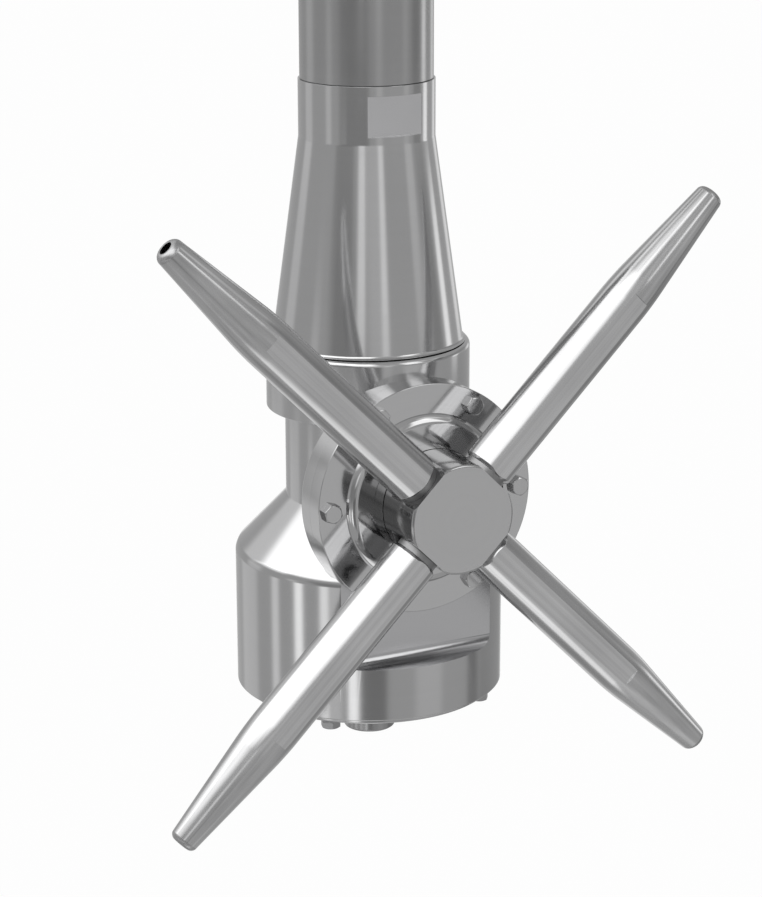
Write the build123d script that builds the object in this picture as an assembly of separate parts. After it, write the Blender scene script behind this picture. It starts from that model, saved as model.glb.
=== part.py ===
"""Rotary jet mixer that hangs from its downpipe inside a tank.

Liquid comes down the pipe, turns an impeller and leaves by four nozzles. The impeller
shaft drives a two-stage gear train in the drum, which turns the housing about the pipe
axis. A bevel gear on the nozzle hub rolls on a fixed bevel gear, so the nozzles also
turn about the hub axis. Millimetres, +Z up the pipe, origin at the centre of the
downpipe's upper end. The hub points along -Y.
"""

from build123d import *
import math
import os

# Downpipe and inlet cone
pipe_diameter = 60.3
pipe_wall = 2.0
pipe_stub_length = 60.0
inlet_diameter = 61.9
inlet_height = 25.9
inlet_bore = 50.0
inlet_across_flats = 56.0
inlet_flat_drop = 4.4
inlet_flat_height = 18.0
cone_height = 93.8
cone_foot_diameter = 87.6
cone_foot_flare = 1.2
cone_foot_edge = 0.2
cone_bore = 65.0
cone_bore_height = 56.0
bore_taper_height = 32.0

# Housing that turns about the pipe axis
foot_gap = 0.4
collar_diameter = 93.9
collar_bore = 86.0
collar_height = 30.5
collar_lip_radius = 2.4
neck_diameter = 76.9
neck_height = 42.5
neck_bore = 66.0
shoulder_height = 25.2
drum_diameter = 125.0
drum_height = 66.0
drum_edge_radius = 6.0
chamber_bore = 80.0
chamber_height = 15.0
chamber_flare_height = 8.0
web_drop = 34.0
web_thickness = 6.0
gear_room_bore = 86.0

# Boss and milled face for the hub cover
hub_drop = 181.5
milled_face_reach = 49.5
ledge_drop = 78.2
ledge_fillet = 5.0
boss_depth = 9.0
boss_root_diameter = 76.0
boss_root_reach = 22.0
hub_opening = 62.0
hub_opening_end = 17.0

# Hub cover
hub_cover_thickness = 9.0
cover_ring_diameter = 79.0
cover_ring_height = 3.0
cover_ring_round_width = 4.5
cover_bolt_clearance = 2.8
cover_bolt_to_edge = 6.1
nose_diameter = 50.4
nose_length = 7.0
hub_cover_spigot = 7.0
spigot_clearance = 0.1
cover_sleeve_diameter = 52.0
hub_cover_bolts_count = 6

# M5 hexagon bolts
bolt_diameter = 5.0
bolt_head_width = 8.0
bolt_head_height = 3.2
bolt_crown_diameter = 7.4
bolt_crown_drop = 0.6
hub_cover_bolt_length = 16.0
drum_cover_bolt_length = 14.0
washer_diameter = 9.0
washer_thickness = 1.0

# Nozzle hub and nozzles
hub_gap = 0.3
hub_diameter = 50.0
hub_length = 28.5
hub_edge = 1.1
hub_flat_reach = 22.3
hub_flat_back = 6.0
hub_bore = 24.0
hub_chamber_end = 5.5
hub_chamber_chamfer = 2.0
spindle_diameter = 36.0
gear_seat_diameter = 30.0
nozzle_count = 4
first_nozzle_angle = 45.0
nozzle_plane_depth = 11.85
nozzle_reach = 185.9
nozzle_diameter = 22.8
nozzle_neck_diameter = 20.0
nozzle_neck_length = 2.6
nozzle_taper_start = 128.0
nozzle_blend_radius = 160.0
nozzle_tip_diameter = 12.4
nozzle_tip_round = 2.6
nozzle_inlet_bore = 10.0
nozzle_outlet_bore = 6.2
nozzle_outlet_length = 12.0
nozzle_shank_diameter = 14.0
nozzle_shank_length = 8.0
nozzle_across_flats = 21.0
nozzle_flat_length = 101.1

# Fixed stem, its bearing flange and the ball bearing that carries the housing
spigot_diameter = 72.4
ball_diameter = 5.0
ball_count = 10
ball_clearance = 0.1
cage_thickness = 2.0
cage_side_clearance = 0.6
pocket_clearance = 0.2
collar_ring_height = 10.9
collar_bush_wall = 2.3
stem_flange_height = 7.0
stem_flange_clearance = 0.5
stem_collar_height = 8.0
stem_collar_bore = 59.0
stem_diameter = 26.0
stem_bore = 20.0
stem_rise = 12.0
spoke_count = 3
spoke_width = 5.0
spoke_height = 12.0

# Shaft, impeller and inlet guide
shaft_diameter = 7.0
shaft_bush_length = 9.0
impeller_diameter = 63.0
impeller_height = 18.0
impeller_hub_diameter = 18.0
impeller_gap = 3.0
impeller_nose_diameter = 9.0
impeller_nose_drop = 4.5
blade_count = 5
blade_thickness = 1.8
blade_twist = 38.0
blade_sections = 4
blade_root_depth = 2.0
guide_height = 10.0
guide_ring_wall = 2.5
guide_hub_diameter = 16.0
guide_hub_rise = 9.0
guide_hub_shoulder_rise = 6.8
guide_hub_shoulder_diameter = 9.6
guide_vane_count = 4
guide_vane_twist = 26.0
retaining_ring_thickness = 1.6
retaining_ring_depth = 1.2
retaining_ring_width = 2.7
retaining_ring_gap = 8.0
pin_diameter = 2.5

# Bevel gears between the fixed stem and the hub
bevel_module = 1.5
stem_gear_teeth = 31
hub_gear_teeth = 33
bevel_face = 6.5
bevel_rim = 1.6
stem_gear_back = 31.0
hub_gear_back = 29.0
thrust_ring_thickness = 2.4

# Gear train in the drum
pressure_angle = 25.0
tooth_tip = 1.0
tooth_root = 1.25
tooth_trim = 1.3
sun_teeth = 12
planet_teeth = 18
planet_count = 3
first_planet_angle = 90.0
pillar_angle = first_planet_angle - 180 / planet_count
first_module = 1.125
second_module = 1.5
first_face = 10.0
second_face = 12.0
flank_relief = 0.07
frame_hub_diameter = 36.0
frame_plate_diameter = 82.0
frame_plate_thickness = 6.0
frame_pillar_diameter = 6.0
frame_pillar_circle = 71.0
first_pin_diameter = 5.0
second_pin_diameter = 6.0
pin_head_diameter = 9.0
pin_head_height = 2.0
cup_wall = 3.0
cup_web_thickness = 4.0
ring_gear_diameter = 88.0

# Drum cover and its plug
drum_cover_diameter = 118.6
drum_cover_thickness = 2.6
drum_cover_rim_bore = 76.0
drum_cover_floor = 1.5
drum_cover_chamfer = 0.6
drum_cover_bolt_circle = 109.0
drum_cover_bolts_count = 4
first_drum_bolt_angle = -135.0
plug_diameter = 24.2
plug_length = 23.3
plug_chamfer = 1.0
plug_shank_diameter = 18.0
plug_shank_length = 10.0
pivot_depth = 7.0
seal_width = 1.8
drum_seal_rise = 5.4

# Fits
running_fit = 0.05
seat_gap = 0.3
bush_wall = 2.5
shaft_bush_wall = 2.0

# How far a cutting shape runs past the face that it cuts
cut_margin = 1.0

# Heights that follow from the sizes
z_joint = -pipe_stub_length
z_cone_top = z_joint - inlet_height
z_cone_foot = z_cone_top - cone_height
z_collar_top = z_cone_foot - foot_gap
z_collar_bottom = z_collar_top - collar_height
z_neck_bottom = z_collar_bottom - neck_height
z_drum_top = z_neck_bottom - shoulder_height
z_drum_bottom = z_drum_top - drum_height
z_cover_bottom = z_drum_bottom - drum_cover_thickness
z_plug_bottom = z_cover_bottom - plug_length
z_hub = z_joint - hub_drop
z_ring_bottom = z_collar_top - collar_ring_height
z_flange_top = z_ring_bottom - ball_diameter - 2 * ball_clearance
z_flange_bottom = z_flange_top - stem_flange_height
z_collar_step = z_flange_bottom - stem_flange_clearance
z_web_top = z_hub - web_drop
z_web_bottom = z_web_top - web_thickness
z_ledge = z_hub - ledge_drop

# Gear levels below the web
plate_gap = 2.0
level_gap = 1.0
z_plate_top = z_web_bottom - plate_gap
z_plate_bottom = z_plate_top - frame_plate_thickness
z_first_top = z_plate_bottom - level_gap
z_first_bottom = z_first_top - first_face
z_first_pin_end = z_first_bottom - seat_gap - pin_head_height
z_cup_web_top = z_first_pin_end - level_gap
z_cup_web_bottom = z_cup_web_top - cup_web_thickness
z_mid_plate_top = z_cup_web_bottom - level_gap
z_mid_plate_bottom = z_mid_plate_top - frame_plate_thickness
z_second_top = z_mid_plate_bottom - level_gap
z_second_bottom = z_second_top - second_face
z_second_pin_end = z_second_bottom - seat_gap - pin_head_height
z_ring_gear_top = z_second_top + level_gap / 2
z_ring_gear_bottom = z_second_bottom - level_gap / 2

# Bolt circle and disc of the hub cover, outside its raised ring
bolt_head_corners = bolt_head_width / math.cos(math.pi / 6)
hub_cover_bolt_circle = cover_ring_diameter + 2 * cover_bolt_clearance + bolt_head_corners
hub_cover_diameter = hub_cover_bolt_circle + 2 * cover_bolt_to_edge

# Reaches along the hub axis, from the pipe axis outwards
r_cover_front = milled_face_reach + hub_cover_thickness
r_nose_front = r_cover_front + nose_length
r_hub_back = r_nose_front + hub_gap
r_hub_front = r_hub_back + hub_length
r_nozzles = r_hub_front - nozzle_plane_depth
r_spigot_back = milled_face_reach - hub_cover_spigot
r_thrust_back = hub_gear_back + ball_clearance
r_thrust_front = r_thrust_back + thrust_ring_thickness

# Pitch sizes of the bevel pair, whose cones meet where the two axes cross
stem_gear_radius = bevel_module * stem_gear_teeth / 2
hub_gear_radius = bevel_module * hub_gear_teeth / 2
bevel_depth = tooth_root * bevel_module + bevel_rim

hub_place = Pos(0, 0, z_hub) * Rot(90, 0, 0)


def tube(outer_diameter, inner_diameter, z_top, z_bottom):
    """Straight round wall, or a solid disc when the inner diameter is zero."""
    outline = Circle(outer_diameter / 2)
    if inner_diameter > 0:
        outline -= Circle(inner_diameter / 2)
    return Pos(0, 0, z_bottom) * extrude(outline, z_top - z_bottom)


def turned(points):
    """Solid of revolution about Z from a closed outline of radius and height pairs."""
    outline = Polyline(*[(r, 0, z) for r, z in points], close=True)
    return revolve(make_face(outline), Axis.Z)


def turned_from(edges):
    """Solid of revolution about Z from joined edges drawn in the XZ plane."""
    return revolve(make_face(Wire(edges)), Axis.Z)


def line(a, b):
    """Straight edge between two points of radius and height."""
    return Edge.make_line((a[0], 0, a[1]), (b[0], 0, b[1]))


def arc(a, middle, b):
    """Arc through three points of radius and height."""
    return Edge.make_three_point_arc((a[0], 0, a[1]), (middle[0], 0, middle[1]), (b[0], 0, b[1]))


def bend(a, b, radius):
    """Arc between two points that bulges to the left, or right with a negative radius."""
    across = b[0] - a[0]
    up = b[1] - a[1]
    chord = math.hypot(across, up)
    rise = abs(radius) - math.sqrt(radius**2 - (chord / 2) ** 2)
    share = math.copysign(rise / chord, radius)
    middle = ((a[0] + b[0]) / 2 - share * up, (a[1] + b[1]) / 2 + share * across)
    return arc(a, middle, b)


def spaced(count, radius, first=0.0):
    """Angle and place of copies spread evenly round Z."""
    for n in range(count):
        angle = first + 360 * n / count
        yield angle, radius * math.cos(math.radians(angle)), radius * math.sin(math.radians(angle))


def involute(angle):
    """Involute function of a pressure angle in radians."""
    return math.tan(angle) - angle


def half_tooth(teeth, pitch_radius, root_radius, tip_radius, relief, steps):
    """Radius and half-angle pairs of one tooth flank, from its root to its tip."""
    normal = math.radians(pressure_angle)
    base = pitch_radius * math.cos(normal)
    at_pitch = math.pi / (2 * teeth) - relief / pitch_radius + involute(normal)
    start = max(base, root_radius)
    flank = []
    if root_radius < base:
        flank.append((root_radius, at_pitch))
    for n in range(steps + 1):
        radius = start + (tip_radius - start) * n / steps
        flank.append((radius, at_pitch - involute(math.acos(base / radius))))
    return flank


def tip_diameter(teeth, module):
    """Diameter over the tips of an external gear."""
    return module * (teeth + 2 * tooth_tip)


def root_diameter(teeth, module):
    """Diameter in the tooth roots of an external gear."""
    return module * (teeth - 2 * tooth_root)


def planet_radius(module):
    """Distance of the planet axes from the pipe axis in one stage."""
    return module * (sun_teeth + planet_teeth) / 2


def around(flank, teeth, turn):
    """Closed ring of points that repeats a flank and its mirror for every tooth."""
    points = []
    for n in range(teeth):
        middle = turn + 2 * math.pi * n / teeth
        points += [(r, middle - a) for r, a in flank]
        points += [(r, middle + a) for r, a in reversed(flank)]
    return [(r * math.cos(a), r * math.sin(a)) for r, a in points]


def toothed_face(teeth, module, turn_degrees, steps):
    """Flat outline of an external gear."""
    root = root_diameter(teeth, module) / 2
    tip = tip_diameter(teeth, module) / 2
    flank = half_tooth(teeth, module * teeth / 2, root, tip, flank_relief, steps)
    return make_face(Polyline(*around(flank, teeth, math.radians(turn_degrees)), close=True))


def toothed_hole(teeth, module, steps):
    """Flat outline of the room inside an internal gear."""
    radius = module * teeth / 2
    low = radius - tooth_tip * module
    high = radius + tooth_root * module
    flank = half_tooth(teeth, radius, low, high, -flank_relief, steps)
    return make_face(Polyline(*around(flank, teeth, 0.0), close=True))


def spur_gear(teeth, module, face, bore, turn_degrees=0.0, steps=2):
    """External gear that stands on its lower face, on the Z axis."""
    outline = toothed_face(teeth, module, turn_degrees, steps)
    return extrude(outline - Circle(bore / 2), face)


def bevel_gear(teeth, radius, reach, bore, back, turn_degrees, steps=2):
    """Bevel gear about Z whose pitch cone has its apex at the origin and opens up."""
    slant = math.hypot(radius, reach)
    cosine = reach / slant
    sine = radius / slant
    virtual = radius / cosine
    low = virtual - tooth_root * bevel_module
    high = virtual + tooth_tip * bevel_module
    flank = half_tooth(teeth / cosine, virtual, low, high, flank_relief, steps)

    def outline(level):
        section = []
        for rho, half in flank:
            height = rho - virtual
            scale = level / (reach - height * sine)
            section.append((scale * (radius + height * cosine), half / cosine))
        points = around(section, teeth, math.radians(turn_degrees))
        return Wire(Polyline(*[(x, y, level) for x, y in points], close=True).edges())

    near = 1 - bevel_face / slant
    depth = bevel_depth
    over = tooth_trim * bevel_module
    cone = Solid.make_loft([outline(reach * near - depth), outline(back + cut_margin)], ruled=True)
    outer_tip = (radius + over * cosine, reach - over * sine)
    outer_root = (radius - depth * cosine, reach + depth * sine)
    inner_tip = (near * outer_tip[0], near * outer_tip[1])
    inner_root = (near * outer_root[0], near * outer_root[1])
    envelope = turned(
        [
            (bore / 2, inner_root[1]),
            inner_root,
            inner_tip,
            outer_tip,
            outer_root,
            (outer_root[0], back),
            (bore / 2, back),
        ]
    )
    return cone & envelope


def twisted_blade(inner, outer, thickness, height, twist):
    """Blade that stands on Z = 0 and turns about Z as it rises."""
    sections = []
    for n in range(blade_sections):
        share = n / (blade_sections - 1)
        angle = math.radians(twist * share)
        along = (math.cos(angle), math.sin(angle))
        across = (-along[1] * thickness / 2, along[0] * thickness / 2)
        corners = []
        for reach, side in ((inner, -1), (outer, -1), (outer, 1), (inner, 1)):
            x = reach * along[0] + side * across[0]
            y = reach * along[1] + side * across[1]
            corners.append((x, y, height * share))
        sections.append(Wire(Polyline(*corners, close=True).edges()))
    return Solid.make_loft(sections, ruled=True)


def hex_bolt(length):
    """Hexagon bolt whose head stands on Z = 0 and whose shank points down."""
    head = extrude(RegularPolygon(bolt_head_width / 2, 6, major_radius=False), bolt_head_height)
    corner = bolt_head_corners / 2
    crown = turned(
        [
            (0, 0),
            (corner, 0),
            (corner, bolt_head_height - bolt_crown_drop),
            (bolt_crown_diameter / 2, bolt_head_height),
            (0, bolt_head_height),
        ]
    )
    shank = tube(bolt_diameter, 0, 0, -length)
    return (head & crown) + shank


def make_downpipe():
    """Length of tank pipe that the mixer hangs from."""
    return tube(pipe_diameter, pipe_diameter - 2 * pipe_wall, 0, z_joint)


def make_inlet_cone():
    """Inlet cylinder, cone and the spigot that reaches into the collar."""
    foot = cone_foot_diameter / 2
    slope = (foot - inlet_diameter / 2) / cone_height
    flare_height = 2 * cone_foot_flare
    flare_start = (foot - slope * flare_height, z_cone_foot + flare_height)
    flare_end = (foot + cone_foot_flare, z_cone_foot + cone_foot_edge)
    z_bore_top = z_cone_foot + cone_bore_height
    bore = cone_bore / 2
    outline = [
        (inlet_bore / 2, z_joint),
        (inlet_diameter / 2, z_joint),
        (inlet_diameter / 2, z_cone_top),
        flare_start,
    ]
    edges = [line(a, b) for a, b in zip(outline, outline[1:])]
    edges.append(bend(flare_start, flare_end, -flare_height))
    below = [
        flare_end,
        (flare_end[0], z_cone_foot),
        (spigot_diameter / 2, z_cone_foot),
        (spigot_diameter / 2, z_flange_top),
        (bore, z_flange_top),
        (bore, z_bore_top),
        (inlet_bore / 2, z_bore_top + bore_taper_height),
        (inlet_bore / 2, z_joint),
    ]
    edges += [line(a, b) for a, b in zip(below, below[1:])]
    cone = turned_from(edges)
    z_flat = z_joint - inlet_flat_drop - inlet_flat_height / 2
    chip = inlet_diameter
    for side in (-1, 1):
        y = side * (inlet_across_flats / 2 + chip / 2)
        cone -= Pos(0, y, z_flat) * Box(chip, chip, inlet_flat_height)
    z_groove = z_bore_top - guide_height
    groove = cone_bore + 2 * retaining_ring_depth
    z_groove_end = z_groove - retaining_ring_thickness
    cone -= tube(groove, cone_bore - 2 * cut_margin, z_groove, z_groove_end)
    return cone


def make_inlet_guide():
    """Ring of fixed twisted vanes above the impeller, with the hub of the upper bush."""
    z_top = z_cone_foot + cone_bore_height
    z_bottom = z_top - guide_height
    ring = tube(cone_bore, cone_bore - 2 * guide_ring_wall, z_top, z_bottom)
    hub_radius = guide_hub_diameter / 2
    dome = turned(
        [
            (0, z_bottom),
            (hub_radius, z_bottom),
            (hub_radius, z_top),
            (guide_hub_shoulder_diameter / 2, z_top + guide_hub_shoulder_rise),
            (0, z_top + guide_hub_rise),
        ]
    )
    guide = ring + dome
    root = hub_radius - blade_root_depth
    tip = (cone_bore - guide_ring_wall) / 2
    vane = twisted_blade(root, tip, blade_thickness, guide_height, guide_vane_twist)
    for angle, _, _ in spaced(guide_vane_count, 0):
        guide += Pos(0, 0, z_bottom) * Rot(0, 0, angle) * vane
    bush_diameter = shaft_diameter + 2 * shaft_bush_wall
    guide -= tube(bush_diameter, 0, z_bottom + shaft_bush_length, z_bottom)
    return guide


def make_guide_retaining_ring():
    """Split ring in the bore that holds the inlet guide up."""
    z_top = z_cone_foot + cone_bore_height - guide_height
    outer = cone_bore + 2 * retaining_ring_depth
    inner = outer - 2 * retaining_ring_width
    ring = tube(outer, inner, z_top, z_top - retaining_ring_thickness)
    slot = Pos(outer / 2, 0, z_top) * Box(inner / 2, retaining_ring_gap, inner)
    return ring - slot


def make_guide_bush():
    """Upper bearing bush of the impeller shaft."""
    z_bottom = z_cone_foot + cone_bore_height - guide_height
    outer = shaft_diameter + 2 * shaft_bush_wall
    return tube(outer, shaft_diameter + 2 * running_fit, z_bottom + shaft_bush_length, z_bottom)


def make_hanging_stem():
    """Bearing flange, spokes and the tube that carries the gear frame."""
    flange_diameter = collar_bore - 2 * stem_flange_clearance
    flange = tube(flange_diameter, stem_collar_bore, z_flange_top, z_flange_bottom)
    collar = tube(cone_bore, stem_collar_bore, z_flange_top + stem_collar_height, z_flange_bottom)
    z_stem_top = z_flange_bottom + spoke_height + stem_rise
    barrel = tube(stem_diameter, stem_bore, z_stem_top, z_hub - stem_gear_back)
    stem = flange + collar + barrel
    inner = (stem_diameter + stem_bore) / 4
    outer = (cone_bore + stem_collar_bore) / 4
    place = Pos((inner + outer) / 2, 0, z_flange_bottom + spoke_height / 2)
    spoke = place * Box(outer - inner, spoke_width, spoke_height)
    for angle, _, _ in spaced(spoke_count, 0, first_planet_angle):
        stem += Rot(0, 0, angle) * spoke
    return stem


def make_stem_bush():
    """Middle bearing bush of the impeller shaft, at the top of the stem."""
    z_top = z_flange_bottom + spoke_height + stem_rise
    inner = shaft_diameter + 2 * running_fit
    return tube(stem_bore, inner, z_top, z_top - shaft_bush_length)


def make_stem_bevel_gear():
    """Fixed bevel gear on the foot of the stem, with its teeth up."""
    gear = bevel_gear(
        stem_gear_teeth,
        stem_gear_radius,
        hub_gear_radius,
        stem_diameter,
        stem_gear_back,
        90,
    )
    return Pos(0, 0, z_hub) * Rot(180, 0, 0) * gear


def make_gear_frame():
    """Fixed frame below the web: hub, two plates and the pillars between them."""
    z_top = z_hub - stem_gear_back
    bush = shaft_diameter + 2 * shaft_bush_wall
    frame = tube(frame_hub_diameter, 0, z_top, z_plate_bottom)
    frame += tube(frame_plate_diameter, 0, z_plate_top, z_plate_bottom)
    frame -= tube(bush, 0, z_top, z_plate_bottom)
    pass_through = tip_diameter(sun_teeth, second_module) + 2 * seat_gap
    frame += tube(frame_plate_diameter, pass_through, z_mid_plate_top, z_mid_plate_bottom)
    for _, x, y in spaced(planet_count, frame_pillar_circle / 2, pillar_angle):
        frame += Pos(x, y, 0) * tube(frame_pillar_diameter, 0, z_plate_bottom, z_mid_plate_top)
    for _, x, y in spaced(planet_count, planet_radius(first_module), first_planet_angle):
        frame -= Pos(x, y, 0) * tube(first_pin_diameter, 0, z_plate_top, z_plate_bottom)
    for _, x, y in spaced(planet_count, planet_radius(second_module), first_planet_angle):
        frame -= Pos(x, y, 0) * tube(second_pin_diameter, 0, z_mid_plate_top, z_mid_plate_bottom)
    return frame


def make_frame_bush():
    """Lower bearing bush of the impeller shaft, in the gear frame."""
    z_top = z_hub - stem_gear_back
    outer = shaft_diameter + 2 * shaft_bush_wall
    return tube(outer, shaft_diameter + 2 * running_fit, z_top, z_plate_bottom)


def make_planet_pins(module, pin_size, z_plate, z_end):
    """Headed pins that the planet gears of one stage turn on."""
    pins = []
    for _, x, y in spaced(planet_count, planet_radius(module), first_planet_angle):
        pin = tube(pin_size, 0, z_plate, z_end)
        head = tube(pin_head_diameter, 0, z_end + pin_head_height, z_end)
        pins.append(Pos(x, y, 0) * (pin + head))
    return Compound(children=pins)


def make_planet(module, face, z_bottom, pin_size, angle):
    """One planet gear, turned so that a tooth points outwards."""
    gear = spur_gear(planet_teeth, module, face, pin_size + 2 * running_fit, angle)
    x = planet_radius(module) * math.cos(math.radians(angle))
    y = planet_radius(module) * math.sin(math.radians(angle))
    return Pos(x, y, z_bottom) * gear


def make_cup_wheel():
    """Internal gear of the first stage in one piece with the second stage's pinion."""
    ring_teeth = sun_teeth + 2 * planet_teeth
    outer = first_module * (ring_teeth + 2 * tooth_root) + 2 * cup_wall
    z_rim_top = z_first_top + level_gap / 2
    rim = Circle(outer / 2) - toothed_hole(ring_teeth, first_module, 2)
    cup = Pos(0, 0, z_cup_web_top) * extrude(rim, z_rim_top - z_cup_web_top)
    cup += tube(outer, 0, z_cup_web_top, z_cup_web_bottom)
    cup += tube(root_diameter(sun_teeth, second_module), 0, z_cup_web_bottom, z_second_top)
    half_pitch = 180 / sun_teeth
    pinion = extrude(toothed_face(sun_teeth, second_module, half_pitch, 3), second_face)
    cup += Pos(0, 0, z_second_bottom) * pinion
    cup -= tube(shaft_diameter + 2 * running_fit, 0, z_cup_web_top, z_second_bottom)
    return cup


def make_drive_pinion():
    """Pinion on the impeller shaft."""
    half_pitch = 180 / sun_teeth
    gear = spur_gear(sun_teeth, first_module, first_face, shaft_diameter, half_pitch, 3)
    return Pos(0, 0, z_first_bottom) * gear


def make_ring_gear():
    """Internal gear of the second stage, clamped in the drum."""
    ring_teeth = sun_teeth + 2 * planet_teeth
    rim = Circle(ring_gear_diameter / 2) - toothed_hole(ring_teeth, second_module, 2)
    return Pos(0, 0, z_ring_gear_bottom) * extrude(rim, z_ring_gear_top - z_ring_gear_bottom)


def make_shaft():
    """Impeller shaft, from the inlet guide down to the pivot bush in the plug."""
    z_top = z_cone_foot + cone_bore_height - guide_height + shaft_bush_length - seat_gap
    z_bottom = z_cover_bottom + plug_shank_length - pivot_depth + seat_gap
    shaft = tube(shaft_diameter, 0, z_top, z_bottom)
    return shaft - impeller_cross_hole()


def impeller_levels():
    """Upper and lower height of the impeller."""
    z_ring = z_cone_foot + cone_bore_height - guide_height - retaining_ring_thickness
    z_top = z_ring - impeller_gap
    return z_top, z_top - impeller_height


def impeller_cross_hole():
    """Rod in the place of the pin through the impeller hub and the shaft."""
    _, z_bottom = impeller_levels()
    length = impeller_hub_diameter + 2 * cut_margin
    rod = Cylinder(pin_diameter / 2, length)
    return Pos(0, 0, z_bottom - pin_diameter) * Rot(0, 90, 0) * rod


def make_impeller():
    """Axial impeller with twisted blades."""
    z_top, z_bottom = impeller_levels()
    hub_radius = impeller_hub_diameter / 2
    z_sleeve = z_bottom - 2 * pin_diameter
    impeller = turned(
        [
            (0, z_sleeve),
            (hub_radius, z_sleeve),
            (hub_radius, z_top - impeller_nose_drop),
            (impeller_nose_diameter / 2, z_top),
            (0, z_top),
        ]
    )
    root = hub_radius - blade_root_depth
    tip = impeller_diameter / 2 + cut_margin
    blade = twisted_blade(root, tip, blade_thickness, impeller_height, blade_twist)
    limit = tube(impeller_diameter, 0, z_top, z_bottom)
    for angle, _, _ in spaced(blade_count, 0):
        impeller += (Pos(0, 0, z_bottom) * Rot(0, 0, angle) * blade) & limit
    impeller -= tube(shaft_diameter, 0, z_top, z_sleeve)
    return impeller - impeller_cross_hole()


def make_impeller_pin():
    """Pin that ties the impeller to the shaft."""
    return impeller_cross_hole() & tube(impeller_hub_diameter, 0, 0, z_drum_bottom)


def make_main_balls():
    """Balls that carry the housing on the stem flange."""
    middle = (spigot_diameter + collar_bore) / 4
    z = z_flange_top + ball_clearance + ball_diameter / 2
    balls = [Pos(x, y, z) * Sphere(ball_diameter / 2) for _, x, y in spaced(ball_count, middle)]
    return Compound(children=balls)


def make_ball_cage():
    """Flat ring that keeps the balls apart."""
    middle = (spigot_diameter + collar_bore) / 4
    z = z_flange_top + ball_clearance + ball_diameter / 2
    outer = collar_bore - 2 * cage_side_clearance
    inner = spigot_diameter + 2 * cage_side_clearance
    cage = tube(outer, inner, z + cage_thickness / 2, z - cage_thickness / 2)
    for _, x, y in spaced(ball_count, middle):
        pocket = Cylinder(ball_diameter / 2 + pocket_clearance, 2 * cage_thickness)
        cage -= Pos(x, y, z) * pocket
    return cage


def boss():
    """Round boss on the hub side, with a conical root that runs into the neck."""
    reach = milled_face_reach
    return hub_place * turned(
        [
            (0, boss_root_reach),
            (boss_root_diameter / 2, boss_root_reach),
            (hub_cover_diameter / 2, reach - boss_depth),
            (hub_cover_diameter / 2, reach),
            (0, reach),
        ]
    )


def milled_space():
    """Space in front of the milled face, with the fillet above its ledge."""
    face = milled_face_reach
    far = face + drum_diameter
    z_top = z_hub + drum_diameter
    fillet_start = (face + ledge_fillet, z_ledge)
    fillet_end = (face, z_ledge + ledge_fillet)
    edges = [
        line((far, z_ledge), fillet_start),
        bend(fillet_start, fillet_end, ledge_fillet),
        line(fillet_end, (face, z_top)),
        line((face, z_top), (far, z_top)),
        line((far, z_top), (far, z_ledge)),
    ]
    side = extrude(make_face(Wire(edges)), drum_diameter, both=True)
    return Rot(0, 0, -90) * side


def bolt_circle(count, diameter, first=0.0):
    """Places of the bolts on one circle."""
    return [(x, y) for _, x, y in spaced(count, diameter / 2, first)]


def inner_wall():
    """Radius and height of the housing's inside, from its open foot up to the collar."""
    hub_hole = frame_hub_diameter / 2 + bush_wall
    z_chamber_top = z_web_top + chamber_height
    return [
        (ring_gear_diameter / 2, z_drum_bottom),
        (ring_gear_diameter / 2, z_ring_gear_top),
        (gear_room_bore / 2, z_ring_gear_top),
        (gear_room_bore / 2, z_web_bottom),
        (hub_hole, z_web_bottom),
        (hub_hole, z_web_top),
        (chamber_bore / 2, z_web_top),
        (chamber_bore / 2, z_chamber_top - chamber_flare_height),
        (neck_bore / 2, z_chamber_top),
        (neck_bore / 2, z_collar_step),
        (collar_bore / 2, z_collar_step),
        (collar_bore / 2, z_collar_top),
    ]


def make_housing():
    """Collar, neck, boss, shoulder and drum in one casting, with the web inside."""
    lip = collar_diameter / 2 - collar_lip_radius
    drum = drum_diameter / 2
    neck = neck_diameter / 2
    slope = math.atan2(drum - neck, shoulder_height)
    setback = drum_edge_radius * math.tan((math.pi / 2 - slope) / 2)
    shoulder_end = (drum - setback * math.sin(slope), z_drum_top + setback * math.cos(slope))
    drum_side = (drum, z_drum_top - setback)
    collar_side = (collar_diameter / 2, z_collar_top - collar_lip_radius)
    upper = [
        collar_side,
        (collar_diameter / 2, z_collar_bottom),
        (neck, z_collar_bottom),
        (neck, z_neck_bottom),
        shoulder_end,
    ]
    lower = [drum_side, (drum, z_drum_bottom)] + inner_wall() + [(lip, z_collar_top)]
    edges = [bend((lip, z_collar_top), collar_side, collar_lip_radius)]
    edges += [line(a, b) for a, b in zip(upper, upper[1:])]
    edges.append(bend(shoulder_end, drum_side, drum_edge_radius))
    edges += [line(a, b) for a, b in zip(lower, lower[1:])]
    body = turned_from(edges)
    room = turned([(0, z_collar_top), (0, z_drum_bottom)] + inner_wall())
    housing = body + (boss() - room)
    housing -= milled_space()
    housing -= hub_place * tube(hub_opening, 0, milled_face_reach + cut_margin, hub_opening_end)
    thread_end = r_cover_front - hub_cover_bolt_length
    for x, y in bolt_circle(hub_cover_bolts_count, hub_cover_bolt_circle):
        housing -= hub_place * Pos(x, y, 0) * tube(bolt_diameter, 0, milled_face_reach, thread_end)
    z_thread = z_cover_bottom - washer_thickness + drum_cover_bolt_length
    for x, y in bolt_circle(drum_cover_bolts_count, drum_cover_bolt_circle, first_drum_bolt_angle):
        housing -= Pos(x, y, 0) * tube(bolt_diameter, 0, z_thread, z_drum_bottom)
    return housing


def make_collar_ring():
    """Threaded ring in the collar that rests on the balls."""
    inner = spigot_diameter + 2 * collar_bush_wall
    return tube(collar_bore, inner, z_collar_top, z_ring_bottom)


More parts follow.
